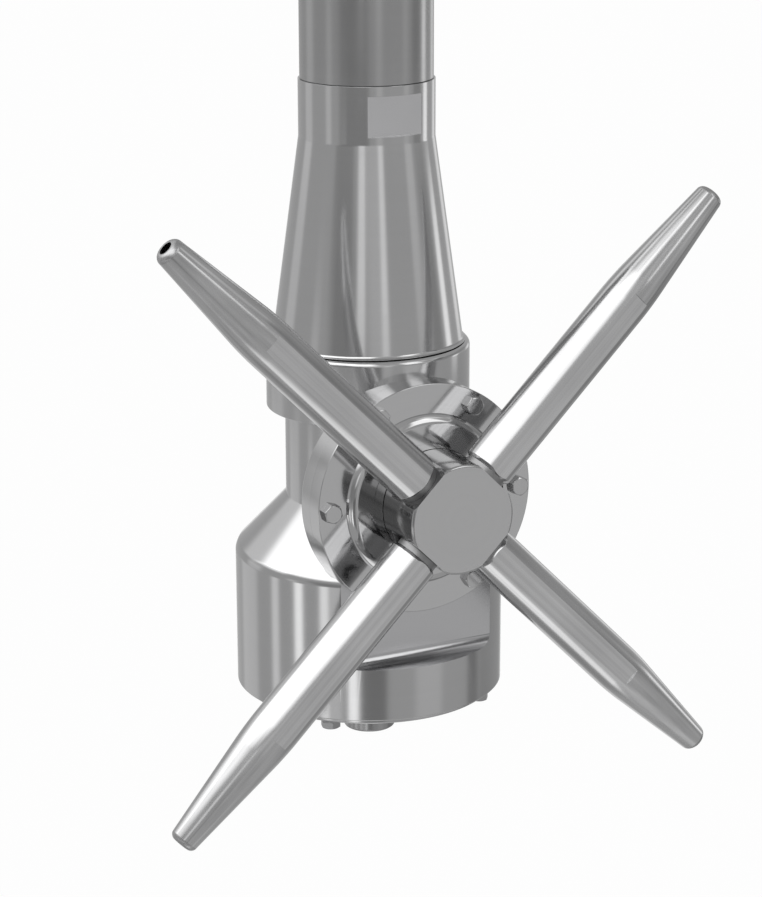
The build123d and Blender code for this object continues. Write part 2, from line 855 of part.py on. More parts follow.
def make_collar_bush():
    """Bush between the collar ring and the fixed spigot."""
    outer = spigot_diameter + 2 * collar_bush_wall
    inner = spigot_diameter + 2 * running_fit
    return tube(outer, inner, z_collar_top, z_ring_bottom)


def make_main_bush():
    """Bush in the web that runs on the hub of the gear frame."""
    outer = frame_hub_diameter + 2 * bush_wall
    return tube(outer, frame_hub_diameter + 2 * running_fit, z_web_top, z_web_bottom)


def make_hub_cover():
    """Flanged cover that carries the hub, with its raised ring and its nose."""
    plate = hub_cover_diameter / 2
    ring = cover_ring_diameter / 2
    front = r_cover_front
    land = front + cover_ring_height
    nose = nose_diameter / 2
    spigot = hub_opening / 2 - spigot_clearance
    bore = spindle_diameter / 2 + bush_wall
    sleeve = cover_sleeve_diameter / 2
    ring_foot = (ring, front)
    ring_land = (ring - cover_ring_round_width, land)
    round_radius = math.hypot(cover_ring_round_width, cover_ring_height) ** 2
    round_radius /= 2 * cover_ring_height
    outline = [
        (bore, r_thrust_front),
        (sleeve, r_thrust_front),
        (sleeve, r_spigot_back),
        (spigot, r_spigot_back),
        (spigot, milled_face_reach),
        (plate, milled_face_reach),
        (plate, front),
        ring_foot,
    ]
    edges = [line(a, b) for a, b in zip(outline, outline[1:])]
    edges.append(bend(ring_foot, ring_land, -round_radius))
    edges.append(line(ring_land, (nose, land)))
    edges.append(line((nose, land), (nose, r_nose_front)))
    edges.append(line((nose, r_nose_front), (bore, r_nose_front)))
    edges.append(line((bore, r_nose_front), (bore, r_thrust_front)))
    cover = turned_from(edges)
    for x, y in bolt_circle(hub_cover_bolts_count, hub_cover_bolt_circle):
        cover -= Pos(x, y, 0) * tube(bolt_diameter, 0, front, milled_face_reach)
    z_seal = milled_face_reach - (hub_cover_spigot - seal_width) / 2
    groove = tube(hub_opening, 2 * (spigot - seal_width), z_seal, z_seal - seal_width)
    return hub_place * (cover - groove)


def make_hub_cover_seal():
    """Seal ring in the groove of the hub cover's spigot."""
    spigot = hub_opening / 2 - spigot_clearance
    z_seal = milled_face_reach - (hub_cover_spigot - seal_width) / 2
    return hub_place * tube(hub_opening, 2 * (spigot - seal_width), z_seal, z_seal - seal_width)


def make_hub_cover_bolts():
    """Hexagon bolts of the hub cover."""
    bolts = []
    for x, y in bolt_circle(hub_cover_bolts_count, hub_cover_bolt_circle):
        bolts.append(hub_place * Pos(x, y, r_cover_front) * hex_bolt(hub_cover_bolt_length))
    return Compound(children=bolts)


def make_hub_bush():
    """Long bush of the hub cover that the hub spindle turns in."""
    outer = spindle_diameter + 2 * bush_wall
    inner = spindle_diameter + 2 * running_fit
    return hub_place * tube(outer, inner, r_nose_front, r_thrust_front)


def make_hub_thrust_ring():
    """Slide ring between the hub cover and the back of the hub gear."""
    inner = spindle_diameter + 2 * seat_gap
    return hub_place * tube(cover_sleeve_diameter, inner, r_thrust_front, r_thrust_back)


def make_nozzle_hub():
    """Hub head with its nozzle flats, and the hollow spindle behind it."""
    head = hub_diameter / 2
    bore = hub_bore / 2
    gear_end = inner_gear_face()
    chamber_end = r_hub_front - hub_chamber_end
    hub = turned(
        [
            (bore, gear_end),
            (gear_seat_diameter / 2, gear_end),
            (gear_seat_diameter / 2, hub_gear_back),
            (spindle_diameter / 2, hub_gear_back),
            (spindle_diameter / 2, r_hub_back),
            (head, r_hub_back),
            (head, r_hub_front - hub_edge),
            (head - hub_edge, r_hub_front),
            (0, r_hub_front),
            (0, chamber_end),
            (bore, chamber_end - hub_chamber_chamfer),
        ]
    )
    flat_depth = hub_length - hub_flat_back
    cut = Box(head, hub_diameter, flat_depth, align=(Align.MIN, Align.CENTER, Align.MAX))
    hole = Cylinder(nozzle_shank_diameter / 2, hub_flat_reach - bore / 2)
    middle = (hub_flat_reach + bore / 2) / 2
    for angle, _, _ in spaced(nozzle_count, 0, first_nozzle_angle):
        hub -= Rot(0, 0, angle) * Pos(hub_flat_reach, 0, r_hub_front) * cut
        hub -= Rot(0, 0, angle) * Pos(middle, 0, r_nozzles) * Rot(0, 90, 0) * hole
    return hub_place * hub


def inner_gear_face():
    """Reach of the hub gear's inner face, where its rim meets the bore."""
    slant = math.hypot(hub_gear_radius, stem_gear_radius)
    near = 1 - bevel_face / slant
    return near * (stem_gear_radius + bevel_depth * hub_gear_radius / slant)


def make_hub_bevel_gear():
    """Bevel gear on the hub spindle that rolls on the fixed one."""
    space_down = -90 + 180 / hub_gear_teeth
    gear = bevel_gear(
        hub_gear_teeth,
        hub_gear_radius,
        stem_gear_radius,
        gear_seat_diameter,
        hub_gear_back,
        space_down,
    )
    return hub_place * gear


def make_nozzle(angle):
    """One nozzle: shank, neck, straight barrel with two flats, and tapered tip."""
    start = hub_flat_reach
    barrel = nozzle_diameter / 2
    neck = nozzle_neck_diameter / 2
    tip = nozzle_tip_diameter / 2
    shank = nozzle_shank_diameter / 2
    neck_end = start + nozzle_neck_length
    taper = math.atan2(barrel - tip, nozzle_reach - nozzle_taper_start)
    tangent = nozzle_blend_radius * math.tan(taper / 2)
    blend_start = (barrel, nozzle_taper_start - tangent)
    blend_end = (
        barrel - tangent * math.sin(taper),
        nozzle_taper_start + tangent * math.cos(taper),
    )
    shank_start = start - nozzle_shank_length
    outer = [
        (nozzle_inlet_bore / 2, shank_start),
        (shank, shank_start),
        (shank, start),
        (neck, start),
        (neck, neck_end),
        (barrel, neck_end + barrel - neck),
        blend_start,
    ]
    tip_start = (tip, nozzle_reach - nozzle_tip_round)
    tip_end = (tip - nozzle_tip_round, nozzle_reach)
    outlet = nozzle_outlet_bore / 2
    inner = [
        tip_end,
        (outlet, nozzle_reach),
        (outlet, nozzle_reach - nozzle_outlet_length),
        (nozzle_inlet_bore / 2, neck_end),
        (nozzle_inlet_bore / 2, shank_start),
    ]
    edges = [line(a, b) for a, b in zip(outer, outer[1:])]
    edges.append(bend(blend_start, blend_end, -nozzle_blend_radius))
    edges.append(line(blend_end, tip_start))
    edges.append(bend(tip_start, tip_end, -nozzle_tip_round))
    edges += [line(a, b) for a, b in zip(inner, inner[1:])]
    nozzle = turned_from(edges)
    chip = nozzle_diameter
    middle = neck_end + nozzle_flat_length / 2
    for side in (-1, 1):
        y = side * (nozzle_across_flats / 2 + chip / 2)
        nozzle -= Pos(0, y, middle) * Box(chip, chip, nozzle_flat_length)
    outwards = Rot(0, 0, angle) * Rot(0, 90, 0) * Rot(0, 0, 90)
    return hub_place * Pos(0, 0, r_nozzles) * outwards * nozzle


def make_drum_cover():
    """Round cover under the drum with its register rim, bolt holes and plug hole."""
    edge = drum_cover_diameter / 2
    rim = ring_gear_diameter / 2 - spigot_clearance
    z_boss = z_cover_bottom + plug_shank_length - seat_gap
    shank = plug_shank_diameter / 2
    boss_radius = shank + 2 * bush_wall
    z_floor = z_drum_bottom + drum_cover_floor
    cover = turned(
        [
            (shank, z_cover_bottom),
            (edge - drum_cover_chamfer, z_cover_bottom),
            (edge, z_cover_bottom + drum_cover_chamfer),
            (edge, z_drum_bottom),
            (rim, z_drum_bottom),
            (rim, z_ring_gear_bottom),
            (drum_cover_rim_bore / 2, z_ring_gear_bottom),
            (drum_cover_rim_bore / 2, z_floor),
            (boss_radius, z_floor),
            (boss_radius, z_boss),
            (shank, z_boss),
        ]
    )
    for x, y in bolt_circle(drum_cover_bolts_count, drum_cover_bolt_circle, first_drum_bolt_angle):
        cover -= Pos(x, y, 0) * tube(bolt_diameter, 0, z_drum_bottom, z_cover_bottom)
    z_seal = z_drum_bottom + drum_seal_rise
    groove = tube(ring_gear_diameter, 2 * (rim - seal_width), z_seal, z_seal - seal_width)
    return cover - groove


def make_drum_cover_seal():
    """Seal ring round the register of the drum cover."""
    rim = ring_gear_diameter / 2 - spigot_clearance
    z_seal = z_drum_bottom + drum_seal_rise
    return tube(ring_gear_diameter, 2 * (rim - seal_width), z_seal, z_seal - seal_width)


def make_drum_cover_bolts():
    """Hexagon bolts under the drum cover."""
    bolts = []
    z = z_cover_bottom - washer_thickness
    for x, y in bolt_circle(drum_cover_bolts_count, drum_cover_bolt_circle, first_drum_bolt_angle):
        bolts.append(Pos(x, y, z) * Rot(180, 0, 0) * hex_bolt(drum_cover_bolt_length))
    return Compound(children=bolts)


def make_drum_cover_washers():
    """Plain washers under the bolt heads of the drum cover."""
    washers = []
    z = z_cover_bottom
    for x, y in bolt_circle(drum_cover_bolts_count, drum_cover_bolt_circle, first_drum_bolt_angle):
        washers.append(Pos(x, y, 0) * tube(washer_diameter, bolt_diameter, z, z - washer_thickness))
    return Compound(children=washers)


def make_bottom_plug():
    """Round plug in the drum cover that carries the shaft's pivot bush."""
    shank = plug_shank_diameter / 2
    head = plug_diameter / 2
    z_shank = z_cover_bottom + plug_shank_length
    pocket = shaft_diameter / 2 + shaft_bush_wall
    z_pocket = z_shank - pivot_depth
    return turned(
        [
            (0, z_plug_bottom),
            (head - plug_chamfer, z_plug_bottom),
            (head, z_plug_bottom + plug_chamfer),
            (head, z_cover_bottom),
            (shank, z_cover_bottom),
            (shank, z_shank),
            (pocket, z_shank),
            (pocket, z_pocket),
            (0, z_pocket),
        ]
    )


def make_pivot_bush():
    """Bush in the plug for the lower end of the shaft."""
    z_shank = z_cover_bottom + plug_shank_length
    outer = shaft_diameter + 2 * shaft_bush_wall
    return tube(outer, shaft_diameter + 2 * running_fit, z_shank, z_shank - pivot_depth)


def make_parts():
    """All named pieces of the mixer."""
    parts = {
        "downpipe": make_downpipe(),
        "inlet_cone": make_inlet_cone(),
        "inlet_guide": make_inlet_guide(),
        "guide_retaining_ring": make_guide_retaining_ring(),
        "guide_bush": make_guide_bush(),
        "hanging_stem": make_hanging_stem(),
        "stem_bush": make_stem_bush(),
        "stem_bevel_gear": make_stem_bevel_gear(),
        "gear_frame": make_gear_frame(),
        "frame_bush": make_frame_bush(),
        "first_planet_pins": make_planet_pins(
            first_module, first_pin_diameter, z_plate_top, z_first_pin_end
        ),
        "second_planet_pins": make_planet_pins(
            second_module, second_pin_diameter, z_mid_plate_top, z_second_pin_end
        ),
        "main_balls": make_main_balls(),
        "ball_cage": make_ball_cage(),
        "housing": make_housing(),
        "collar_ring": make_collar_ring(),
        "collar_bush": make_collar_bush(),
        "main_bush": make_main_bush(),
        "hub_cover": make_hub_cover(),
        "hub_cover_seal": make_hub_cover_seal(),
        "hub_cover_bolts": make_hub_cover_bolts(),
        "hub_bush": make_hub_bush(),
        "hub_thrust_ring": make_hub_thrust_ring(),
        "ring_gear": make_ring_gear(),
        "drum_cover": make_drum_cover(),
        "drum_cover_seal": make_drum_cover_seal(),
        "drum_cover_bolts": make_drum_cover_bolts(),
        "drum_cover_washers": make_drum_cover_washers(),
        "bottom_plug": make_bottom_plug(),
        "pivot_bush": make_pivot_bush(),
        "nozzle_hub": make_nozzle_hub(),
        "hub_bevel_gear": make_hub_bevel_gear(),
        "impeller": make_impeller(),
        "impeller_shaft": make_shaft(),
        "impeller_pin": make_impeller_pin(),
        "drive_pinion": make_drive_pinion(),
        "cup_wheel": make_cup_wheel(),
    }
    for n, (angle, _, _) in enumerate(spaced(nozzle_count, 0, first_nozzle_angle), 1):
        parts[f"nozzle_{n}"] = make_nozzle(angle)
    for n, (angle, _, _) in enumerate(spaced(planet_count, 0, first_planet_angle), 1):
        parts[f"first_planet_{n}"] = make_planet(
            first_module, first_face, z_first_bottom, first_pin_diameter, angle
        )
        parts[f"second_planet_{n}"] = make_planet(
            second_module, second_face, z_second_bottom, second_pin_diameter, angle
        )
    return parts


os.makedirs("parts", exist_ok=True)
for name, shape in make_parts().items():
    export_step(shape, f"parts/{name}.step")
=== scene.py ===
"""Looks of a rotary jet mixer that hangs from its downpipe.

The polished outer pieces are modelled here with rounded edges and fine outlines, round the
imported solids. The works inside keep their solids and get their own finishes. The sizes of the
sub-assemblies are in millimetres, in the frame of the solids. Finished pieces and the studio
are in metres.
"""

import logging
import math
from dataclasses import dataclass
from enum import Enum
from typing import Callable, Iterable, Sequence

import bmesh
import bpy
from mathutils import Matrix, Vector


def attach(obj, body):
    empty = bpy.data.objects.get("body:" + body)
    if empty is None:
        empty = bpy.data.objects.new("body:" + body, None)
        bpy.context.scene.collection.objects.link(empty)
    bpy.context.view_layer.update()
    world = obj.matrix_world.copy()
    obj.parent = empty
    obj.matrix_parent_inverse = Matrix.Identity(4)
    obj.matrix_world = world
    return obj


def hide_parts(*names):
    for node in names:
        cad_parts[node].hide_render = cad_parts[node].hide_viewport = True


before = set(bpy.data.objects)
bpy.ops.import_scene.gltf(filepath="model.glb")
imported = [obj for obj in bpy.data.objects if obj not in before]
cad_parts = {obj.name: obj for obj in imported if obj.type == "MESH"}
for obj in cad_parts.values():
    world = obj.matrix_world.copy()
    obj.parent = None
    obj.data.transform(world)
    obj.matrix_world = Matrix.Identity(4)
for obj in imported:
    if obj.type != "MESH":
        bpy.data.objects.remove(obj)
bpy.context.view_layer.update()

log = logging.getLogger("mixer")

Shape = bmesh.types.BMesh
Edge = bmesh.types.BMEdge
Face = bmesh.types.BMFace
Colour = tuple[float, float, float]
FaceTest = Callable[[Face], bool]
PlaceTest = Callable[[Vector], bool]

MM = 0.001
STEPS = 160  # steps in the full turn of a round piece
SAME_PLACE = 0.002  # distance under which two points are one
NEAR = 0.1  # tolerance of the tests that pick edges and faces
CLOSE = 0.01  # the same where a bevel's first step lies near the edge that is meant
COOL = 1.006  # how much bluer than grey the metal is
WHITE = (1.0, 1.0, 1.0, 1.0)
QUARTERS = (45, 135, 225, 315)  # directions of the nozzles in degrees
RISING = (45, 225)  # those that rise to the right
SMOOTH = 32.0  # degrees up to which neighbouring faces are shaded as one
ALONG = 0.999  # least cosine between a face that looks along a direction and that direction
HUB_HEIGHT = -241.5
HUB_PLACE = Matrix.Translation((0, 0, HUB_HEIGHT)) @ Matrix.Rotation(math.radians(90), 4, "X")


# Shader maths


@dataclass(frozen=True)
class Signal:
    """A value on its way between two nodes, with the usual operators.

    Attributes:
        shader: The shader that the nodes belong to.
        socket: The output that gives the value.
    """

    shader: "Shader"
    socket: bpy.types.NodeSocket

    def _maths(self, operation: str, first: "Value", second: "Value" = 0.0) -> "Signal":
        """Adds one Math node."""
        return self.shader.node("ShaderNodeMath", {"operation": operation}, {0: first, 1: second})

    def __add__(self, other: "Value") -> "Signal":
        """The sum."""
        return self._maths("ADD", self, other)

    __radd__ = __add__

    def __sub__(self, other: "Value") -> "Signal":
        """The difference."""
        return self._maths("SUBTRACT", self, other)

    def __rsub__(self, other: "Value") -> "Signal":
        """The difference, taken from another value."""
        return self._maths("SUBTRACT", other, self)

    def __mul__(self, other: "Value") -> "Signal":
        """The product."""
        return self._maths("MULTIPLY", self, other)

    __rmul__ = __mul__

    def __truediv__(self, other: "Value") -> "Signal":
        """The quotient."""
        return self._maths("DIVIDE", self, other)

    def __rtruediv__(self, other: "Value") -> "Signal":
        """The quotient, with this as the divisor."""
        return self._maths("DIVIDE", other, self)

    def __abs__(self) -> "Signal":
        """The value without its sign."""
        return self._maths("ABSOLUTE", self)

    def at_least(self, other: "Value") -> "Signal":
        """The larger of this and another value."""
        return self._maths("MAXIMUM", self, other)

    def at_most(self, other: "Value") -> "Signal":
        """The smaller of this and another value."""
        return self._maths("MINIMUM", self, other)

    def held(self) -> "Signal":
        """This value, kept between 0 and 1."""
        return self.at_least(0.0).at_most(1.0)

    def arcsine(self) -> "Signal":
        """Angle in radians whose sine this is."""
        return self._maths("ARCSINE", self)

    def angle_over(self, across: "Value") -> "Signal":
        """Angle in radians of the point with this height and that distance across."""
        return self._maths("ARCTAN2", self, across)


Value = Signal | float


@dataclass(frozen=True)
class Shader:
    """The nodes of one material or of the world.

    Attributes:
        tree: The node tree that they are made in.
    """

    tree: bpy.types.NodeTree

    def node(
        self,
        kind: str,
        settings: dict[str, object] | None = None,
        sockets: dict[str | int, object] | None = None,
        output: str | int = 0,
    ) -> Signal:
        """Makes any node and returns one of its outputs.

        Args:
            kind: Type name of the node.
            settings: Properties of the node, set first. "stops" holds a ramp's stops.
            sockets: Values or signals of its inputs, by name or number.
            output: Name or number of the output that is returned.

        Returns:
            The chosen output as a signal.
        """
        made = self.tree.nodes.new(kind)
        for key, value in (settings or {}).items():
            if key == "stops":
                self._set_stops(made.color_ramp, value)
            else:
                setattr(made, key, value)
        for key, value in (sockets or {}).items():
            if isinstance(value, Signal):
                self.tree.links.new(value.socket, made.inputs[key])
            else:
                made.inputs[key].default_value = value
        return Signal(self, made.outputs[output])

    @staticmethod
    def _set_stops(ramp: bpy.types.ColorRamp, stops: Sequence[tuple[float, float]]) -> None:
        """Gives a ramp its grey stops.

        Args:
            ramp: The ramp of a Color Ramp node.
            stops: Place and grey level of each stop, in order.
        """
        while len(ramp.elements) < len(stops):
            ramp.elements.new(1.0)
        for element, (place, level) in zip(ramp.elements, stops):
            element.position = place
            element.color = (level, level, level, 1.0)

    def parts(self, vector: Signal) -> tuple[Signal, Signal, Signal]:
        """The three coordinates of a vector."""
        split = self.node("ShaderNodeSeparateXYZ", {}, {0: vector}).socket.node
        return tuple(Signal(self, output) for output in split.outputs)

    def vector(self, x: Value, y: Value, z: Value) -> Signal:
        """A vector from three values."""
        return self.node("ShaderNodeCombineXYZ", {}, {0: x, 1: y, 2: z})

    def noise(self, vector: Signal, scale: float, detail: float = 2.0) -> Signal:
        """Soft noise between 0 and 1 at a vector."""
        sockets = {"Vector": vector, "Scale": scale, "Detail": detail, "Roughness": 0.55}
        return self.node("ShaderNodeTexNoise", {}, sockets, "Fac")

    def seated(self, axis: "Axis") -> Signal:
        """Places of the object, moved and turned so that Z runs along an axis.

        Args:
            axis: The line that becomes Z.

        Returns:
            The places as a vector.
        """
        shift, turn = axis.value
        place = self.node("ShaderNodeTexCoord", {}, {}, "Object")
        moved = self.node("ShaderNodeVectorMath", {"operation": "ADD"}, {0: place, 1: shift})
        angles = tuple(math.radians(angle) for angle in turn)
        sockets = {"Vector": moved, "Rotation": angles}
        return self.node("ShaderNodeMapping", {"vector_type": "POINT"}, sockets)

    def bump(self, height: Value, strength: float, distance: float = 0.00002) -> Signal:
        """A normal that follows a height from 0 to 1, where 1 is so many metres."""
        sockets = {"Strength": strength, "Distance": distance, "Height": height}
        return self.node("ShaderNodeBump", {}, sockets)

    def feed(self, surface: bpy.types.Node, signals: dict[str, Signal]) -> None:
        """Links signals to a surface, each to the socket of its name."""
        for name, signal in signals.items():
            self.tree.links.new(signal.socket, surface.inputs[name])

    def mixed(self, share: Value, first: Colour, second: Colour) -> Signal:
        """A colour between two colours: share 0 gives the first one and 1 the second."""
        # Inputs 6 and 7 and output 2 are the node's colours; its other sockets share their names
        sockets = {0: share, 6: (*first, 1.0), 7: (*second, 1.0)}
        return self.node("ShaderNodeMix", {"data_type": "RGBA"}, sockets, 2)


# Finishes


class Axis(Enum):
    """The line that a piece was turned about, as the shift and turn of its pattern."""

    PIPE = ((0.0, 0.0, 0.0), (0.0, 0.0, 0.0))
    HUB = ((0.0, 0.0, -HUB_HEIGHT * MM), (90.0, 0.0, 0.0))
    RISING = ((0.0, 0.0, -HUB_HEIGHT * MM), (0.0, -45.0, 0.0))
    FALLING = ((0.0, 0.0, -HUB_HEIGHT * MM), (0.0, 45.0, 0.0))


class Grain(Enum):
    """Which way tool lines run: scales of the fine and the broad ones, across and along."""

    ROUND = (12.0, 2600.0, 9.0, 320.0)
    LENGTHWISE = (1500.0, 9.0, 420.0, 5.0)


@dataclass(frozen=True)
class Finish:
    """A finish whose material is made once and then shared."""

    name: str

    def dress(self, shader: Shader, surface: bpy.types.Node) -> None:
        """Adds this finish's nodes to a new material."""
        raise NotImplementedError

    def material(self) -> bpy.types.Material:
        """Finds the material of this finish, or makes it on first use.

        Returns:
            The material.
        """
        made = bpy.data.materials.get(self.name)
        if made is None:
            made = bpy.data.materials.new(self.name)
            made.use_nodes = True
            surface = made.node_tree.nodes["Principled BSDF"]
            self.dress(Shader(made.node_tree), surface)
        return made


@dataclass(frozen=True)
class Steel(Finish):
    """Stainless steel that was turned and then polished or left satin.

    Attributes:
        axis: The line that the piece was turned about.
        grey: Base colour of the clean metal.
        roughness: Mean roughness.
        lines: Depth of the fine tool lines, from 0 to 1.
        cloud: How much the roughness wanders over the surface.
        grain: Which way the tool lines run.
        tint: How far the metal's tone wanders to both sides.
        cloud_scale: Clouds to a metre.
        mark_scale: Small worn marks to a metre.
        mark_stops: Where the marks begin to show and where they show fully.
        tone_shares: Shares of the clouds and of the broad lines in the tone.
        rough_shares: How much a tool line and a worn mark roughen the metal.
        height_shares: Shares of the fine and of the broad lines in the bump.
        bumps: Bump of a surface with no tool lines, and what full lines add.
    """

    axis: Axis = Axis.PIPE
    grey: float = 0.56
    roughness: float = 0.1
    lines: float = 0.15
    cloud: float = 0.03
    grain: Grain = Grain.ROUND
    tint: float = 0.012
    cloud_scale: float = 26.0
    mark_scale: float = 210.0
    mark_stops: tuple[float, float] = (0.60, 0.78)
    tone_shares: tuple[float, float] = (0.9, 1.6)
    rough_shares: tuple[float, float] = (0.12, 0.02)
    height_shares: tuple[float, float] = (0.6, 0.8)
    bumps: tuple[float, float] = (0.02, 0.16)

    def dress(self, shader: Shader, surface: bpy.types.Node) -> None:
        """Adds tool lines, soft clouds and small marks to the metal.

        Args:
            shader: The material's nodes.
            surface: The material's surface node.
        """
        turned = shader.seated(self.axis)
        x, y, z = shader.parts(turned)
        flat = shader.vector(x, y, 0.0)
        length = {"operation": "LENGTH"}
        along = z + shader.node("ShaderNodeVectorMath", length, {0: flat}, "Value")
        fine, fine_along, broad, broad_along = self.grain.value
        tool = shader.noise(shader.vector(x * fine, y * fine, along * fine_along), 1.0, detail=3.0)
        wide = shader.noise(shader.vector(x * broad, y * broad, along * broad_along), 1.0)
        cloud = shader.noise(turned, self.cloud_scale, detail=3.0)
        marks = shader.noise(turned, self.mark_scale, detail=4.0)
        first, last = self.mark_stops
        stops = {"stops": ((first, 0.0), (last, 1.0))}
        worn = shader.node("ShaderNodeValToRGB", stops, {0: marks})
        by_cloud, by_line = self.tone_shares
        tone = 0.5 + (cloud - 0.5) * by_cloud + (wide - 0.5) * by_line
        low, high = (self.grey * part for part in (1.0 - self.tint, 1.0 + self.tint))
        colour = shader.mixed(tone.held(), (low, low, low * COOL), (high, high, high * COOL))
        tool_rough, mark_rough = self.rough_shares
        rough = self.roughness + (cloud - 0.5) * (2.0 * self.cloud) + worn * mark_rough
        rough = rough + (tool - 0.5) * (self.lines * tool_rough)
        fine_height, broad_height = self.height_shares
        height = tool * fine_height + wide * broad_height
        polish, lined = self.bumps
        normal = shader.bump(height, polish + lined * self.lines)
        signals = {"Base Color": colour, "Roughness": rough.held(), "Normal": normal}
        shader.feed(surface, signals)
        surface.inputs["Metallic"].default_value = 1.0


@dataclass(frozen=True)
class MilledSteel(Finish):
    """Flat face left by a milling cutter, with its overlapping curved lines.

    Attributes:
        axis: The line that the face stands across.
        grey: Base colour of the clean metal.
        roughness: Mean roughness.
        arc: How much the cutter's lines curve.
        line_scales: Scales of the noise along and across the lines.
        cloud_scale: Clouds to a metre.
        dark: Red, green and blue of the darkest tone, for a grey of 1.
        light: The same of the lightest tone.
        tone_shares: Shares of the clouds and of the lines in the tone.
        rough_shares: How much clouds and lines change the roughness.
        relief: Bump of the lines.
    """

    axis: Axis = Axis.HUB
    grey: float = 0.5
    roughness: float = 0.3
    arc: float = 7.0
    line_scales: tuple[float, float] = (6.0, 1500.0)
    cloud_scale: float = 34.0
    dark: Colour = (0.94, 0.94, 0.955)
    light: Colour = (1.05, 1.05, 1.065)
    tone_shares: tuple[float, float] = (0.75, 0.25)
    rough_shares: tuple[float, float] = (0.10, 0.06)
    relief: float = 0.1

    def dress(self, shader: Shader, surface: bpy.types.Node) -> None:
        """Adds the cutter's arcs and a soft cloud.

        Args:
            shader: The material's nodes.
            surface: The material's surface node.
        """
        turned = shader.seated(self.axis)
        x, y, _ = shader.parts(turned)
        along, across = self.line_scales
        lines = shader.noise(shader.vector(x * along, (x * x * self.arc + y) * across, 0.0), 1.0)
        cloud = shader.noise(turned, self.cloud_scale, detail=3.0)
        by_cloud, by_line = self.tone_shares
        tone = (cloud * by_cloud + lines * by_line).held()
        dark, light = (
            tuple(self.grey * part for part in colour) for colour in (self.dark, self.light)
        )
        by_cloud, by_line = self.rough_shares
        rough = self.roughness + (cloud - 0.5) * by_cloud + (lines - 0.5) * by_line
        signals = {
            "Base Color": shader.mixed(tone, dark, light),
            "Roughness": rough.held(),
            "Normal": shader.bump(lines, self.relief),
        }
        shader.feed(surface, signals)
        surface.inputs["Metallic"].default_value = 1.0


@dataclass(frozen=True)
class Moulded(Finish):
    """Dull bearing plastic or seal rubber with stains and fine lines or grains.

    Attributes:
        low: Colour where the stain pattern is 0.
        high: Colour where it is 1.
        roughness: Roughness where it is 0, and what is added where it is 1.
        cloud_scale: Stains to a metre.
        line_scales: Lines or grains to a metre, along X, Y and Z.
        shares: Shares of the stains and of the lines in the colour.
        relief: Bump of the lines.
        depth: Real depth of a line, in metres.
    """

    low: Colour
    high: Colour
    roughness: tuple[float, float]
    cloud_scale: float
    line_scales: tuple[float, float, float]
    shares: tuple[float, float]
    relief: float
    depth: float = 0.00003

    def dress(self, shader: Shader, surface: bpy.types.Node) -> None:
        """Adds stains and fine lines.

        Args:
            shader: The material's nodes.
            surface: The material's surface node.
        """
        place = shader.node("ShaderNodeTexCoord", {}, {}, "Object")
        x, y, z = (axis * scale for axis, scale in zip(shader.parts(place), self.line_scales))
        lines = shader.noise(shader.vector(x, y, z), 1.0)
        stain = shader.noise(place, self.cloud_scale, detail=4.0)
        by_stain, by_line = self.shares
        tone = stain * by_stain + lines * by_line
        least, added = self.roughness
        signals = {
            "Base Color": shader.mixed(tone.held(), self.low, self.high),
            "Roughness": least + stain * added,
            "Normal": shader.bump(lines, self.relief, self.depth),
        }
        shader.feed(surface, signals)


